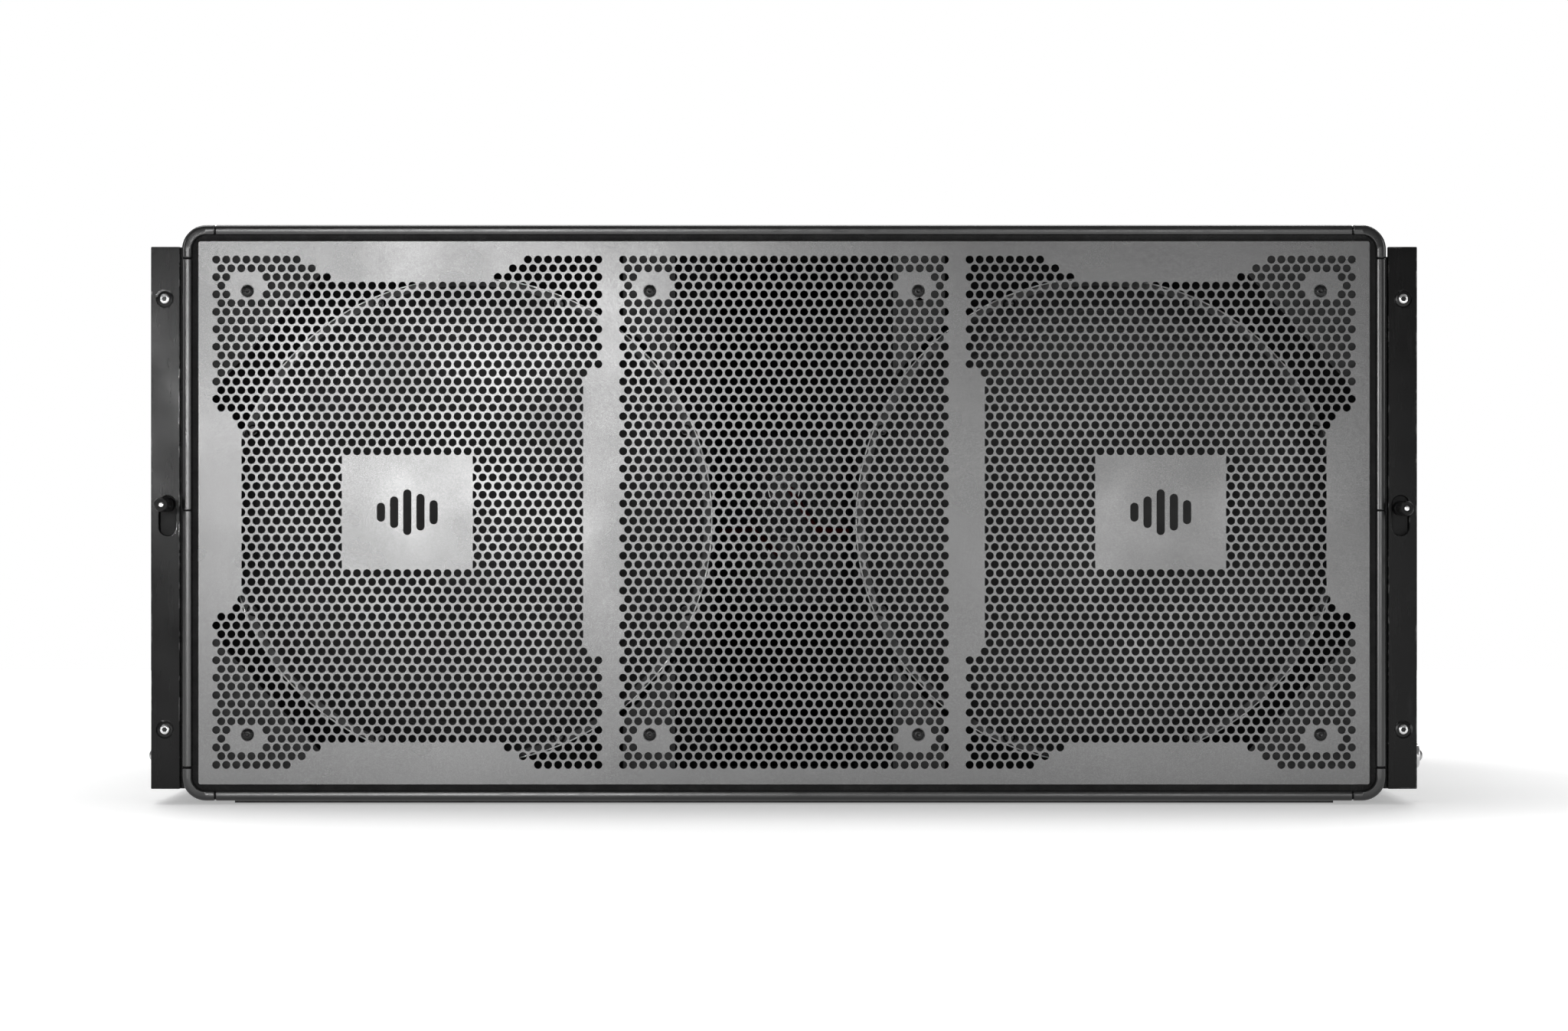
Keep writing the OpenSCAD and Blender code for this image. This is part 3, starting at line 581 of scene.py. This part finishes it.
def screw(at, direction, head_r, head_h, socket_r, shank_r, shank_l):
    """A domed screw with a hexagon socket, its shank included. Sizes are in millimetres."""
    bevel = 0.6
    rings = [
        (shank_r * 0.7, -shank_l),
        (shank_r, -shank_l + bevel),
        (shank_r, 0),
        (head_r, 0),
        (head_r, 0.28 * head_h),
        (head_r * 0.96, 0.52 * head_h),
        (head_r * 0.84, 0.78 * head_h),
        (head_r * 0.66, 0.95 * head_h),
        (socket_r * 1.35, head_h),
    ]
    floor = 0.38 * head_h
    socket = [(1.04, head_h), (1, 0.92 * head_h), (1, floor)]
    rings = scaled(rings) + [(hexagon(share * socket_r * MM), z * MM) for share, z in socket]
    rings += scaled([(socket_r * 0.2, floor - bevel / 2)])
    return ring_solid(rings, SCREW_SIDES, facing(at, direction))


def softened(node, width, slot, body="box", shift=(0, 0, 0), clamp=True):
    """A copy of a CAD node with its outward edges rolled over, which stands for the node."""
    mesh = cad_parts[node].data.copy()
    mesh.transform(Matrix.Translation(shift))
    build = bmesh.new()
    build.from_mesh(mesh)
    bmesh.ops.remove_doubles(build, verts=build.verts, dist=WELD)
    coplanar = math.radians(0.8)
    bmesh.ops.dissolve_limit(
        build, angle_limit=coplanar, verts=build.verts, edges=build.edges, use_dissolve_boundaries=False
    )
    crease = math.radians(CREASE_ANGLE)
    sharp = [
        e for e in build.edges if len(e.link_faces) == 2 and e.is_convex and e.calc_face_angle(0) > crease
    ]
    bmesh.ops.bevel(
        build, geom=sharp, offset=width, offset_type="OFFSET", segments=2, profile=0.5,
        affect="EDGES", clamp_overlap=clamp,
    )
    build.to_mesh(mesh)
    build.free()
    smooth(mesh)
    made = bpy.data.objects.new(node + "_rolled", mesh)
    bpy.context.scene.collection.objects.link(made)
    mesh.materials.clear()
    mesh.materials.append(MATERIALS[slot])
    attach(made, body)
    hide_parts(node)
    return made


# ---------- grille ----------

PITCH = 7.9375 * MM
ROW = PITCH * math.sqrt(3) / 2
ROWS = 59
MID_ROW = ROWS // 2
HOLE_R = 3.175 * MM
HOLE_SIDES = 18
SIDE_COLUMNS = 39
MIDDLE_COLUMNS = 33
SHEET = 1.5 * MM
GRILLE_LOW, GRILLE_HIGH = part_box("grille")
ROWS_RAISED = 0.5 * MM
TOP_ROW_Z = (GRILLE_LOW.z + GRILLE_HIGH.z) / 2 + ROWS_RAISED + MID_ROW * ROW
SIDE_FIRST_X = 448.2 * MM
SEAM_X = 136.5 * MM
SCREW_COLUMN = 3
SCREW_ROW_FROM_MIDDLE = 26
RECESS_R = 5.3 * MM
RECESS_TAPER = 0.25 * MM
RECESS_D = 0.75 * MM
SCREW_HOLE_R = 2.6 * MM
CORNER_R = 1.5 * MM
CORNER_STEPS = 4
FOLD_R = 0.8 * MM
FOLD_SLANT = 0.71
SPREAD = 1.0 * MM

# Plain areas of a side panel, as rows each way from the middle row, and cells from the panel's outer edge,
# its inner edge or the middle of the badge plate. Half a cell means that the cell there is cut in two.
OUTER_STRIP = (9, 2.5)
OUTER_STEP = (11, 2)
INNER_STRIP = (15, 1.5)
INNER_STEP = (16, 1)
BADGE_PLATE = (6, 6.5)

# The tapered plain areas at the top and the bottom: rows deep, cells to their middle, and half widths.
TAPER_ROWS = 3
TAPER_MIDDLE = 19.5
TAPER_PER_ROW = 1.5
TOP_TAPER = 11
BOTTOM_TAPER = 12


def in_screw_patch(row, u):
    """Bare metal round a screw: 3, 4 and 3 cells without holes. u counts cells from the first column."""
    rows_off = abs(abs(row - MID_ROW) - SCREW_ROW_FROM_MIDDLE)
    return rows_off <= 1 and abs(u - SCREW_COLUMN) <= 1.5 - 0.5 * rows_off


def in_taper(row, u):
    """The tapered plain areas of a side panel, each narrower towards the middle of the panel."""
    for rows_in, half_width in ((row, TOP_TAPER), (ROWS - 1 - row, BOTTOM_TAPER)):
        if rows_in < TAPER_ROWS and abs(u - TAPER_MIDDLE) < half_width - TAPER_PER_ROW * rows_in:
            return True
    return False


def side_halves(row, u):
    """Whether the outer and the inner half of a side panel's cell are open. u counts from the outer edge."""
    from_middle = abs(row - MID_ROW)
    from_inner = SIDE_COLUMNS - 1 - u
    from_badge = u - (SIDE_COLUMNS - 1) / 2
    if in_taper(row, u) or in_screw_patch(row, u):
        return False, False
    if from_middle <= OUTER_STRIP[0] and u <= OUTER_STRIP[1]:
        return False, u == OUTER_STRIP[1]
    if from_middle <= OUTER_STEP[0] and u < OUTER_STEP[1]:
        return False, False
    if from_middle <= INNER_STRIP[0] and from_inner <= INNER_STRIP[1]:
        return from_inner == INNER_STRIP[1], False
    if from_middle <= INNER_STEP[0] and from_inner < INNER_STEP[1]:
        return False, False
    if from_middle <= BADGE_PLATE[0] and abs(from_badge) <= BADGE_PLATE[1]:
        return from_badge == -BADGE_PLATE[1], from_badge == BADGE_PLATE[1]
    return True, True


def middle_halves(row, u):
    closed = in_screw_patch(row, u) or in_screw_patch(row, MIDDLE_COLUMNS - 1 - u)
    return not closed, not closed


def right_halves(row, u):
    outer, inner = side_halves(row, SIDE_COLUMNS - 1 - u)
    return inner, outer


CELL_CORNERS = ((0, -2), (1, -1), (1, 1), (0, 2), (-1, 1), (-1, -1))


class Sheet:
    """Builds one closed perforated panel.

    Each point of its flat part is a pair of vertices: one on the front, and the next one right behind it.
    """

    def __init__(self, first_x, columns, halves):
        self.first_x, self.columns, self.halves = first_x, columns, halves
        self.front = GRILLE_LOW.y
        self.back = self.front + SHEET
        self.lip = GRILLE_HIGH.y
        self.verts, self.faces, self.pairs = [], [], {}

    def pair(self, key, x, z):
        if key not in self.pairs:
            self.pairs[key] = len(self.verts)
            self.verts += [(x, self.front, z), (x, self.back, z)]
        return self.pairs[key]

    def lattice(self, i, k):
        return self.pair((i, k), self.first_x + i * PITCH / 2, TOP_ROW_Z + k * ROW / 3)

    def corners(self, row, u):
        """The six corners of a cell, anticlockwise from its lowest."""
        i, k = round(2 * u), -3 * row
        return [self.lattice(i + di, k + dk) for di, dk in CELL_CORNERS]

    def middle(self, row, u):
        return self.first_x + u * PITCH, TOP_ROW_Z - row * ROW

    def screw_near(self, row, u, screws):
        """The number of the screw whose bare patch holds this cell, if there is one."""
        if not (in_screw_patch(row, u) or in_screw_patch(row, self.columns - 1 - u)):
            return None
        x, z = self.middle(row, u)
        reach_x, reach_z = 2.4 * PITCH, 2 * ROW
        near = (i for i, at in enumerate(screws) if abs(at.x - x) < reach_x and abs(at.z - z) < reach_z)
        return next(near, None)

    def flat(self, loop):
        self.faces.append(tuple(loop))
        self.faces.append(tuple(v + 1 for v in reversed(loop)))

    def wall(self, a, b):
        self.faces.append((a, b, b + 1, a + 1))

    def cell(self, row, u):
        left, right = self.halves(row, u)
        six = self.corners(row, u)
        if not (left or right):
            self.flat(six)
            return
        x, z = self.middle(row, u)
        half, step = HOLE_SIDES // 2, HOLE_SIDES // 6
        rim = {}
        for j in range(HOLE_SIDES):
            if (j <= half and right) or ((j >= half or j == 0) and left):
                turn = math.tau * j / HOLE_SIDES - math.pi / 2
                rim[j] = self.pair((row, u, j), x + HOLE_R * math.cos(turn), z + HOLE_R * math.sin(turn))
        low, high = rim[0], rim[half]
        for sector in range(6):
            if not (right if sector < 3 else left):
                continue
            arc = [rim[j % HOLE_SIDES] for j in range(sector * step, (sector + 1) * step + 1)]
            self.flat([six[sector], six[(sector + 1) % 6]] + arc[::-1])
            for a, b in zip(arc, arc[1:]):
                self.wall(a, b)
        if not left:
            self.flat([six[3], six[4], six[5], six[0], low, high])
            self.wall(high, low)
        if not right:
            self.flat([six[0], six[1], six[2], six[3], high, low])
            self.wall(low, high)

    def patch(self, cells, at):
        """The cells round a screw as one face with a stepped hole for it."""
        edges = {}
        for row, u in cells:
            six = self.corners(row, u)
            for a, b in zip(six, six[1:] + six[:1]):
                if edges.get(b) == a:
                    del edges[b]
                else:
                    edges[a] = b
        outline = [next(iter(edges))]
        while edges[outline[-1]] != outline[0]:
            outline.append(edges[outline[-1]])
        rings = []
        for r, y in (
            (RECESS_R, self.front), (RECESS_R - RECESS_TAPER, self.front + RECESS_D),
            (SCREW_HOLE_R, self.front + RECESS_D), (SCREW_HOLE_R, self.back),
        ):
            base = len(self.verts)
            turns = [math.tau * j / HOLE_SIDES for j in range(HOLE_SIDES)]
            self.verts += [(at.x + r * math.cos(t), y, at.z + r * math.sin(t)) for t in turns]
            rings.append(list(range(base, base + HOLE_SIDES)))
        for outer, inner in zip(rings, rings[1:]):
            for j in range(HOLE_SIDES):
                n = (j + 1) % HOLE_SIDES
                self.faces.append((outer[j], outer[n], inner[n], inner[j]))
        self.fill(outline, rings[0])
        self.fill([v + 1 for v in outline], rings[3])

    def fill(self, outline, hole):
        every = outline + hole
        loops = (outline, hole)
        points = [[Vector((self.verts[v][0], self.verts[v][2], 0)) for v in loop] for loop in loops]
        for triangle in tessellate_polygon(points):
            self.faces.append(tuple(every[i] for i in triangle))

    def perimeter(self, left, right):
        """The plain border outside the cells, walked anticlockwise from the top left corner.

        It has a folded edge, except at the seams with the next panel.
        """
        lip_left, lip_right = left == GRILLE_LOW.x, right == GRILLE_HIGH.x
        inset = FOLD_R - SPREAD
        low, high = GRILLE_LOW.z + inset, GRILLE_HIGH.z - inset
        left_x = left + inset if lip_left else left
        right_x = right - inset if lip_right else right
        last = 2 * (self.columns - 1) + 1
        bottom_k = -3 * (ROWS - 1)
        side = [(-(1 - row % 2), -3 * row + d) for row in range(ROWS) for d in (1, -1)]
        ring = []

        def corner(inner, x, z, sx, sz, rounded):
            if not rounded:
                ring.append((inner, x, z, 0, sz))
                return
            first = {(-1, -1): 180, (1, -1): 270, (1, 1): 0, (-1, 1): 90}[sx, sz]
            for step in range(CORNER_STEPS + 1):
                turn = math.radians(first + 90 * step / CORNER_STEPS)
                nx, nz = math.cos(turn), math.sin(turn)
                ring.append((inner, x + CORNER_R * (nx - sx), z + CORNER_R * (nz - sz), nx, nz))

        for i, k in side:
            ring.append((self.lattice(i, k), left_x, None, -1, 0))
        corner(self.lattice(-1, bottom_k - 1), left_x, low, -1, -1, lip_left)
        for i in range(-1, last + 1):
            ring.append((self.lattice(i, bottom_k - 1 - (i % 2 == 0)), None, low, 0, -1))
        corner(self.lattice(last, bottom_k - 1), right_x, low, 1, -1, lip_right)
        for i, k in reversed(side):
            ring.append((self.lattice(last - 1 - i, k), right_x, None, 1, 0))
        corner(self.lattice(last, 1), right_x, high, 1, 1, lip_right)
        for i in range(last, -2, -1):
            ring.append((self.lattice(i, 1 + (i % 2 == 0)), None, high, 0, 1))
        corner(self.lattice(-1, 1), left_x, high, -1, 1, lip_left)

        border = []
        for index, (inner, x, z, nx, nz) in enumerate(ring):
            x = self.verts[inner][0] if x is None else x
            z = self.verts[inner][2] if z is None else z
            on_seam = (nx < 0 and not lip_left) or (nx > 0 and not lip_right)
            at = self.pair(("edge", index), x, z)
            chain = None
            if not on_seam:
                chain = [at]
                for out, y in (
                    (FOLD_SLANT * FOLD_R, self.front + (1 - FOLD_SLANT) * FOLD_R),
                    (FOLD_R, self.front + FOLD_R),
                    (FOLD_R, self.lip), (FOLD_R - SHEET, self.lip),
                ):
                    chain.append(len(self.verts))
                    self.verts.append((x + nx * out, y, z + nz * out))
                chain.append(at + 1)
            border.append((inner, at, chain))
        for (inner_a, a, chain_a), (inner_b, b, chain_b) in zip(border, border[1:] + border[:1]):
            self.flat([inner_a, a, b] if inner_a == inner_b else [inner_a, a, b, inner_b])
            if chain_a and chain_b:
                for m in range(len(chain_a) - 1):
                    self.faces.append((chain_a[m], chain_a[m + 1], chain_b[m + 1], chain_b[m]))
                continue
            self.faces.append((a, a + 1, b + 1, b))
            if chain_a:
                self.faces.append(tuple(chain_a))
            if chain_b:
                self.faces.append(tuple(chain_b[::-1]))


def make_grille():
    screws = [(low + high) / 2 for low, high in islands("grille_screws")]
    middle_first_x = -PITCH * (MIDDLE_COLUMNS - 1) / 2
    right_first_x = SIDE_FIRST_X - PITCH * (SIDE_COLUMNS - 1)
    thirds = {
        "left": (Sheet(-SIDE_FIRST_X, SIDE_COLUMNS, side_halves), GRILLE_LOW.x, -SEAM_X),
        "middle": (Sheet(middle_first_x, MIDDLE_COLUMNS, middle_halves), -SEAM_X, SEAM_X),
        "right": (Sheet(right_first_x, SIDE_COLUMNS, right_halves), SEAM_X, GRILLE_HIGH.x),
    }
    rounded = 50
    for name, (sheet, left, right) in thirds.items():
        patches = {}
        for row in range(ROWS):
            for column in range(sheet.columns - row % 2):
                u = column + row % 2 / 2
                screw_number = sheet.screw_near(row, u, screws)
                if screw_number is None:
                    sheet.cell(row, u)
                else:
                    patches.setdefault(screw_number, []).append((row, u))
        for screw_number, cells in patches.items():
            sheet.patch(cells, screws[screw_number])
        sheet.perimeter(left, right)
        piece(
            "grille_" + name, sheet.verts, sheet.faces, "grille_steel", replaces=["grille"],
            angle=rounded, crisp=faces_front,
        )


def badge_bar(x, z, height):
    """A raised upright bar with round ends."""
    width, rise, bevel, sunk, steps = 6.4 * MM, 0.9 * MM, 0.3 * MM, 0.05 * MM, 8
    half = height / 2 - width / 2
    front = GRILLE_LOW.y
    loops = []
    for inset, y in ((0, front + sunk), (0, front - rise + bevel), (bevel, front - rise)):
        r = width / 2 - inset
        loop = []
        for end, start in ((half, 0), (-half, math.pi)):
            for step in range(steps + 1):
                turn = start + math.pi * step / steps
                loop.append((x + r * math.cos(turn), y, z + end + r * math.sin(turn)))
        loops.append(loop)
    return stacked(loops)


def make_badges():
    """A plain level-meter sign on each badge plate: five upright bars of different heights."""
    heights = [15, 25, 36, 29, 19]
    spacing = 10.4 * MM
    middle_z = TOP_ROW_Z - MID_ROW * ROW
    for name, side in SIDES.items():
        middle_x = side * (SIDE_FIRST_X - PITCH * (SIDE_COLUMNS - 1) / 2)
        bars = [
            badge_bar(middle_x + (i - (len(heights) - 1) / 2) * spacing, middle_z, height * MM)
            for i, height in enumerate(heights)
        ]
        piece("badge_bars_" + name, *joined(bars), "gasket_rubber")


# ---------- front trim ----------

TRIM_LOW, TRIM_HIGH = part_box("corner_caps")
TRIM_W = 6.5 * MM
TRIM_R = 18 * MM
TRIM_BULGE = 1.0 * MM
TRIM_ROUND = 3.0 * MM
TRIM_LIP = 0.8 * MM
TRIM_NOSE = 0.9 * MM
TRIM_PULL = 0.7 * MM
TRIM_MIDDLE_Z = (TRIM_LOW.z + TRIM_HIGH.z) / 2
SIDE_JOINT_Z = TRIM_MIDDLE_Z + 2 * MM


def trim_section(shrink):
    """The trim's section as (inset from the box, y), drawn in by shrink. It bulges out a little."""
    front, back, r, lip = TRIM_LOW.y, TRIM_HIGH.y, TRIM_ROUND, TRIM_LIP
    points = [(0, back), (-TRIM_BULGE, back - TRIM_BULGE), (-TRIM_BULGE, front + r)]
    steps = 6
    for step in range(1, steps + 1):
        turn = math.radians(90 * step / steps)
        points.append((r - r * math.cos(turn) - TRIM_BULGE, front + r - r * math.sin(turn)))
    points += [(TRIM_W - lip, front), (TRIM_W - 0.3 * lip, front + 0.3 * lip), (TRIM_W, front + lip)]
    points.append((TRIM_W, back))
    return [
        (inset + math.copysign(shrink, TRIM_W / 2 - inset), min(y + shrink, back) if y < back else y)
        for inset, y in points
    ]


def swept(path):
    """A closed bar along path, a list of (x, z, outward x, outward z, shrink)."""
    return stacked([
        [(x - nx * inset, y, z - nz * inset) for inset, y in trim_section(shrink)]
        for x, z, nx, nz, shrink in path
    ])


def trim_bars():
    """The straight trims. Each side one is in two lengths, with a joint between them."""
    for low, high in islands("edge_trims"):
        wide = high.x - low.x > high.z - low.z
        middle = (low + high) / 2
        if wide:
            out = math.copysign(1, middle.z - TRIM_MIDDLE_Z)
            edge = TRIM_HIGH.z if out > 0 else TRIM_LOW.z
            spans = [(low.x, high.x)]
        else:
            out = math.copysign(1, middle.x)
            edge = TRIM_HIGH.x if out > 0 else TRIM_LOW.x
            spans = [(low.z, SIDE_JOINT_Z), (SIDE_JOINT_Z, high.z)]
        for a, b in spans:
            stops = ((a, TRIM_PULL), (a + TRIM_NOSE, 0), (b - TRIM_NOSE, 0), (b, TRIM_PULL))
            yield swept([
                (t, edge, 0, out, shrink) if wide else (edge, t, out, 0, shrink) for t, shrink in stops
            ])


def trim_corner(sx, sz, leg):
    """A corner cap: a quarter turn with a straight leg at each end."""
    x = TRIM_HIGH.x if sx > 0 else TRIM_LOW.x
    z = TRIM_HIGH.z if sz > 0 else TRIM_LOW.z
    stops = ((leg, TRIM_PULL), (leg - TRIM_NOSE, 0))
    path = [(x - sx * t, z, 0, sz, shrink) for t, shrink in stops]
    steps = 12
    for step in range(steps + 1):
        turn = math.radians(90 - 90 * step / steps)
        nx, nz = sx * math.cos(turn), sz * math.sin(turn)
        path.append((x - sx * TRIM_R + TRIM_R * nx, z - sz * TRIM_R + TRIM_R * nz, nx, nz, 0))
    path += [(x, z - sz * t, sx, 0, shrink) for t, shrink in reversed(stops)]
    return swept(path)


def make_trim():
    piece("trim_straights", *joined(trim_bars()), "trim_plastic", replaces=["edge_trims"])
    low, high = islands("corner_caps")[0]
    caps = [trim_corner(sx, sz, high.x - low.x) for sx in (-1, 1) for sz in (-1, 1)]
    piece("trim_corners", *joined(caps), "trim_plastic", replaces=["corner_caps"])


# ---------- fasteners ----------


def fit_screws(name, node, slot, axis, way=0, base=None, **sizes):
    """A modelled screw for each solid of a CAD node. Its head points by way on the axis, outward for 0.

    The top of the head is level with the solid's end, unless base says where the head sits.
    """
    heads = []
    for low, high in islands(node):
        at = (low + high) / 2
        side = way or math.copysign(1, at[axis])
        end = high[axis] if side > 0 else low[axis]
        at[axis] = end - side * sizes["head_h"] * MM if base is None else base
        direction = Vector((0, 0, 0))
        direction[axis] = side
        heads.append(screw(at, direction, **sizes))
    piece(name, *joined(heads), slot, replaces=[node])


def flange_washers(head_h, socket_r):
    """Dark washers under the flange screws, and dark plugs deep in their sockets as painted shade."""
    inner_r, outer_r, bevel_r, edge_h, washer_h, rise = 2.7, 6.3, 5.9, 0.35, 0.6, 0.5
    washer = scaled([
        (inner_r, 0), (outer_r, 0), (outer_r, edge_h), (bevel_r, washer_h), (inner_r, washer_h),
    ])
    plug = hexagon((socket_r - 0.02) * MM)
    plug_low, plug_high = 0.2 * MM, 2.1 * MM
    parts = []
    for low, high in islands("flange_screws"):
        x, z = (low.x + high.x) / 2, (low.z + high.z) / 2
        head = facing((x, low.y + head_h * MM, z), (0, -1, 0))
        seat = facing((x, low.y + (head_h + rise) * MM, z), (0, -1, 0))
        # A dark plug in the bright socket: painted shade in the hollow.
        parts.append(ring_solid([(plug, plug_low), (plug, plug_high)], SCREW_SIDES, head))
        parts.append(ring_solid(washer, SCREW_SIDES, seat, closed=True))
    piece("flange_washers", *joined(parts), "black_screws")


def make_screws():
    x, y = 0, 1
    fit_screws(
        "grille_screw_heads", "grille_screws", "black_screws", y, -1, GRILLE_LOW.y + RECESS_D,
        head_r=4.8, head_h=3.0, socket_r=1.6, shank_r=2.1, shank_l=17,
    )
    fit_screws(
        "flange_screw_heads", "flange_screws", "zinc_screws", y, -1,
        head_r=4.3, head_h=2.9, socket_r=1.8, shank_r=2.5, shank_l=20,
    )
    flange_washers(head_h=2.9, socket_r=1.8)
    fit_screws(
        "frame_bolt_heads", "frame_bolts", "zinc_screws", x,
        head_r=7, head_h=4.4, socket_r=2.9, shank_r=4, shank_l=40,
    )
    fit_screws(
        "input_screw_heads", "input_plate_screws", "black_screws", y, 1,
        head_r=3.8, head_h=2.4, socket_r=1.5, shank_r=1.9, shank_l=12,
    )
    fit_screws(
        "driver_bolt_heads", "driver_bolts", "black_screws", y, -1,
        head_r=5, head_h=6, socket_r=2.5, shank_r=3, shank_l=26,
    )


# ---------- drivers ----------

BAFFLE_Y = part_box("front_baffle")[0].y


def at_driver(side):
    low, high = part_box("cone_left" if side < 0 else "cone_right")
    return facing(((low.x + high.x) / 2, BAFFLE_Y, (low.z + high.z) / 2), (0, -1, 0))


CONE_R = 152
COIL_R = 38.9
APEX_Z = -68
CONE_CURVE = 0.94
CONE_SKIN = 1.5
CONE_SUNK = 0.35
RIB_RISE = 0.35
RIB_SPACING = 16
RIB_FIRST_R = 84
RIBS_FROM, RIBS_TO = 78, 140
CAP_R = 59
CAP_Z = -55.6
CAP_DOME = 16
CAP_SKIN = 1.2


def skin(points, thickness):
    """A closed section from its upper line of (r, z)."""
    return list(points) + [(r, z - thickness) for r, z in reversed(list(points))]


def ripples(r0, z0, r1, z1, r2, waves, swing, thickness=1.0):
    """A rolled ring from (r0, z0) to (r1, z1), with a flat rim out to r2."""
    steps = waves * 10
    upper = []
    for i in range(steps + 1):
        share = i / steps
        z = z0 + (z1 - z0) * share + swing * math.sin(math.tau * waves * share)
        upper.append((r0 + (r1 - r0) * share, z + thickness))
    return skin(upper + [(r2, z1 + thickness)], thickness)


def cone_section():
    """The cone's paper, with four low ribs pressed into it."""
    upper, steps = [], 45
    for i in range(steps + 1):
        share = i / steps
        r = COIL_R + (CONE_R - COIL_R) * share
        z = APEX_Z - APEX_Z * share ** CONE_CURVE
        crest = max(0.0, math.cos(math.tau * (r - RIB_FIRST_R) / RIB_SPACING)) ** 6
        rib = RIB_RISE * crest if RIBS_FROM < r < RIBS_TO else 0
        upper.append((r, z - CONE_SUNK + rib))
    return skin(upper, CONE_SKIN)


def cap_section():
    """The dust cap's dome, with one raised ring, and a rim where it is glued down."""
    upper, steps = [(CAP_R + 0.8, CAP_Z + 0.4)], 18
    ring_r, ring_rise, ring_w, least_r = 24, 0.5, 2.4, 0.4
    for i in range(steps + 1):
        r = CAP_R * (1 - i / steps)
        dome = CAP_DOME * (1 - (r / CAP_R) ** 2)
        ring = ring_rise * math.exp(-(((r - ring_r) / ring_w) ** 2))
        upper.append((max(r, least_r), CAP_Z + dome + ring))
    return skin(upper, CAP_SKIN)


BASKET_BEAD = [(192.1, 9.8), (192.1, 10.7), (192.4, 11.0), (192.8, 11.0), (193.1, 10.7), (193.1, 9.8)]


def make_drivers():
    for name, side in SIDES.items():
        place = at_driver(side)
        cone_body = name + "_cone"

        def turned(section, sides):
            return ring_solid(scaled(section), sides, place, closed=True)

        piece(
            "cone_skin_" + name, *turned(cone_section(), 128),
            "cone_paper", cone_body, ["cone_" + name],
        )
        piece(
            "dust_cap_skin_" + name, *turned(cap_section(), 96),
            "cone_paper", cone_body, ["dust_cap_" + name],
        )
        piece("basket_bead_" + name, *turned(BASKET_BEAD, 144), "motor_steel")
        surround = piece(
            "surround_skin_" + name, *turned(ripples(152.3, -0.9, 167.5, 10, 178, waves=3, swing=1.2), 144),
            "surround_cloth", None, ["surround_" + name],
        )
        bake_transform(surround)
        spider = piece(
            "spider_skin_" + name, *turned(ripples(38.9, -75, 92, -84, 102, waves=6, swing=1.3), 96),
            "spider_cloth", None, ["spider_" + name],
        )
        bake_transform(spider)


# ---------- rigging ----------


def knob_rings(length):
    """The latch's stem, its thinner neck, and the knurled knob with a hollow in its end."""
    r, neck, hollow_rim, hollow_floor = 5.75, 0.86, 2.7, 2.5
    knurls, knurl_depth = 20, 0.035

    def knurl(turn):
        return r * MM * (1 + knurl_depth * math.cos(knurls * turn))

    stem = [(r, 0), (r, length - 26), (r * neck, length - 25.4), (r * neck, length - 24), (r, length - 23.4)]
    knob = [(knurl, (length - 22.6) * MM), (knurl, (length - 2.6) * MM)]
    end = [
        (r * 0.95, length - 1.4), (r * 0.8, length - 0.5),
        (hollow_rim, length - 0.5), (hollow_floor, length - 1.6), (0.5, length - 1.6),
    ]
    return scaled(stem) + knob + scaled(end)


def slide_outline(half_w, half_h):
    """The outline of the latch's slide, a rectangle with rounded corners."""
    def outline(turn):
        c, s = abs(math.cos(turn)), abs(math.sin(turn))
        return ((c / half_w) ** 10 + (s / half_h) ** 10) ** -0.1
    return outline


PLUNGER_TIP = [(1.8, -9), (2.2, -8.6), (2.2, 0.8), (1.9, 1.2), (1.0, 1.45)]


def make_latches():
    """A knurled black knob on its slide, with the bright end of the plunger in it."""
    slide_d, bevel, tip_in = 5 * MM, 0.4 * MM, 1.5 * MM
    for name, side in SIDES.items():
        latch, body = "latch_" + name, name + "_latch"
        low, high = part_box(latch)
        x, z = (low.x + high.x) / 2, (low.z + high.z) / 2
        half_w, half_h = (high.x - low.x) / 2, (high.z - low.z) / 2
        full = slide_outline(half_w, half_h)
        drawn_in = slide_outline(half_w - bevel, half_h - bevel)
        slide = [(drawn_in, 0), (full, bevel), (full, slide_d - bevel), (drawn_in, slide_d)]
        stem_y = high.y - slide_d
        stem, plate, tip = [facing((x, y, z), (0, -1, 0)) for y in (stem_y, high.y, low.y + tip_in)]
        parts = [
            ring_solid(knob_rings((stem_y - low.y) / MM), 80, stem),
            ring_solid(slide, 96, plate),
        ]
        piece("latch_knob_" + name, *joined(parts), "knob_black", body, [latch])
        piece("latch_tip_" + name, *ring_solid(scaled(PLUNGER_TIP), 32, tip), "zinc_screws", body)


def make_frames():
    """The rigging steel and the handle cups, with rolled edges. The pins' heads sit a hair off the frames."""
    seat_gap = 0.05 * MM
    for name, side in SIDES.items():
        softened("side_frame_" + name, 0.6 * MM, "frame_steel", clamp=False)
        softened("mount_plate_" + name, 0.5 * MM, "frame_steel", clamp=False)
        for link in ("front_link", "rear_link"):
            softened(f"{link}_{name}", 0.6 * MM, "link_steel", f"{name}_{link}", clamp=False)
        for pin in ("front", "rear"):
            body = f"{name}_{pin}_pin"
            softened(f"{pin}_pin_{name}", 0.6 * MM, "pin_steel", body, shift=(side * seat_gap, 0, 0))
    softened("link_bolts", 0.8 * MM, "zinc_screws")
    softened("handle_cups", 1.0 * MM, "skid_plastic")


def make_stage():
    mesh = bpy.data.meshes.new("floor")
    reach = 2.6
    corners = [(sx * reach, sy * reach, 0) for sx, sy in ((-1, -1), (1, -1), (1, 1), (-1, 1))]
    mesh.from_pydata(corners, [], [(0, 1, 2, 3)])
    floor = bpy.data.objects.new("floor", mesh)
    bpy.context.scene.collection.objects.link(floor)
    mesh.materials.append(studio_floor())


make_camera()
make_light()
make_stage()
paint_cad_nodes()
make_grille()
make_badges()
make_trim()
make_screws()
make_drivers()
make_latches()
make_frames()
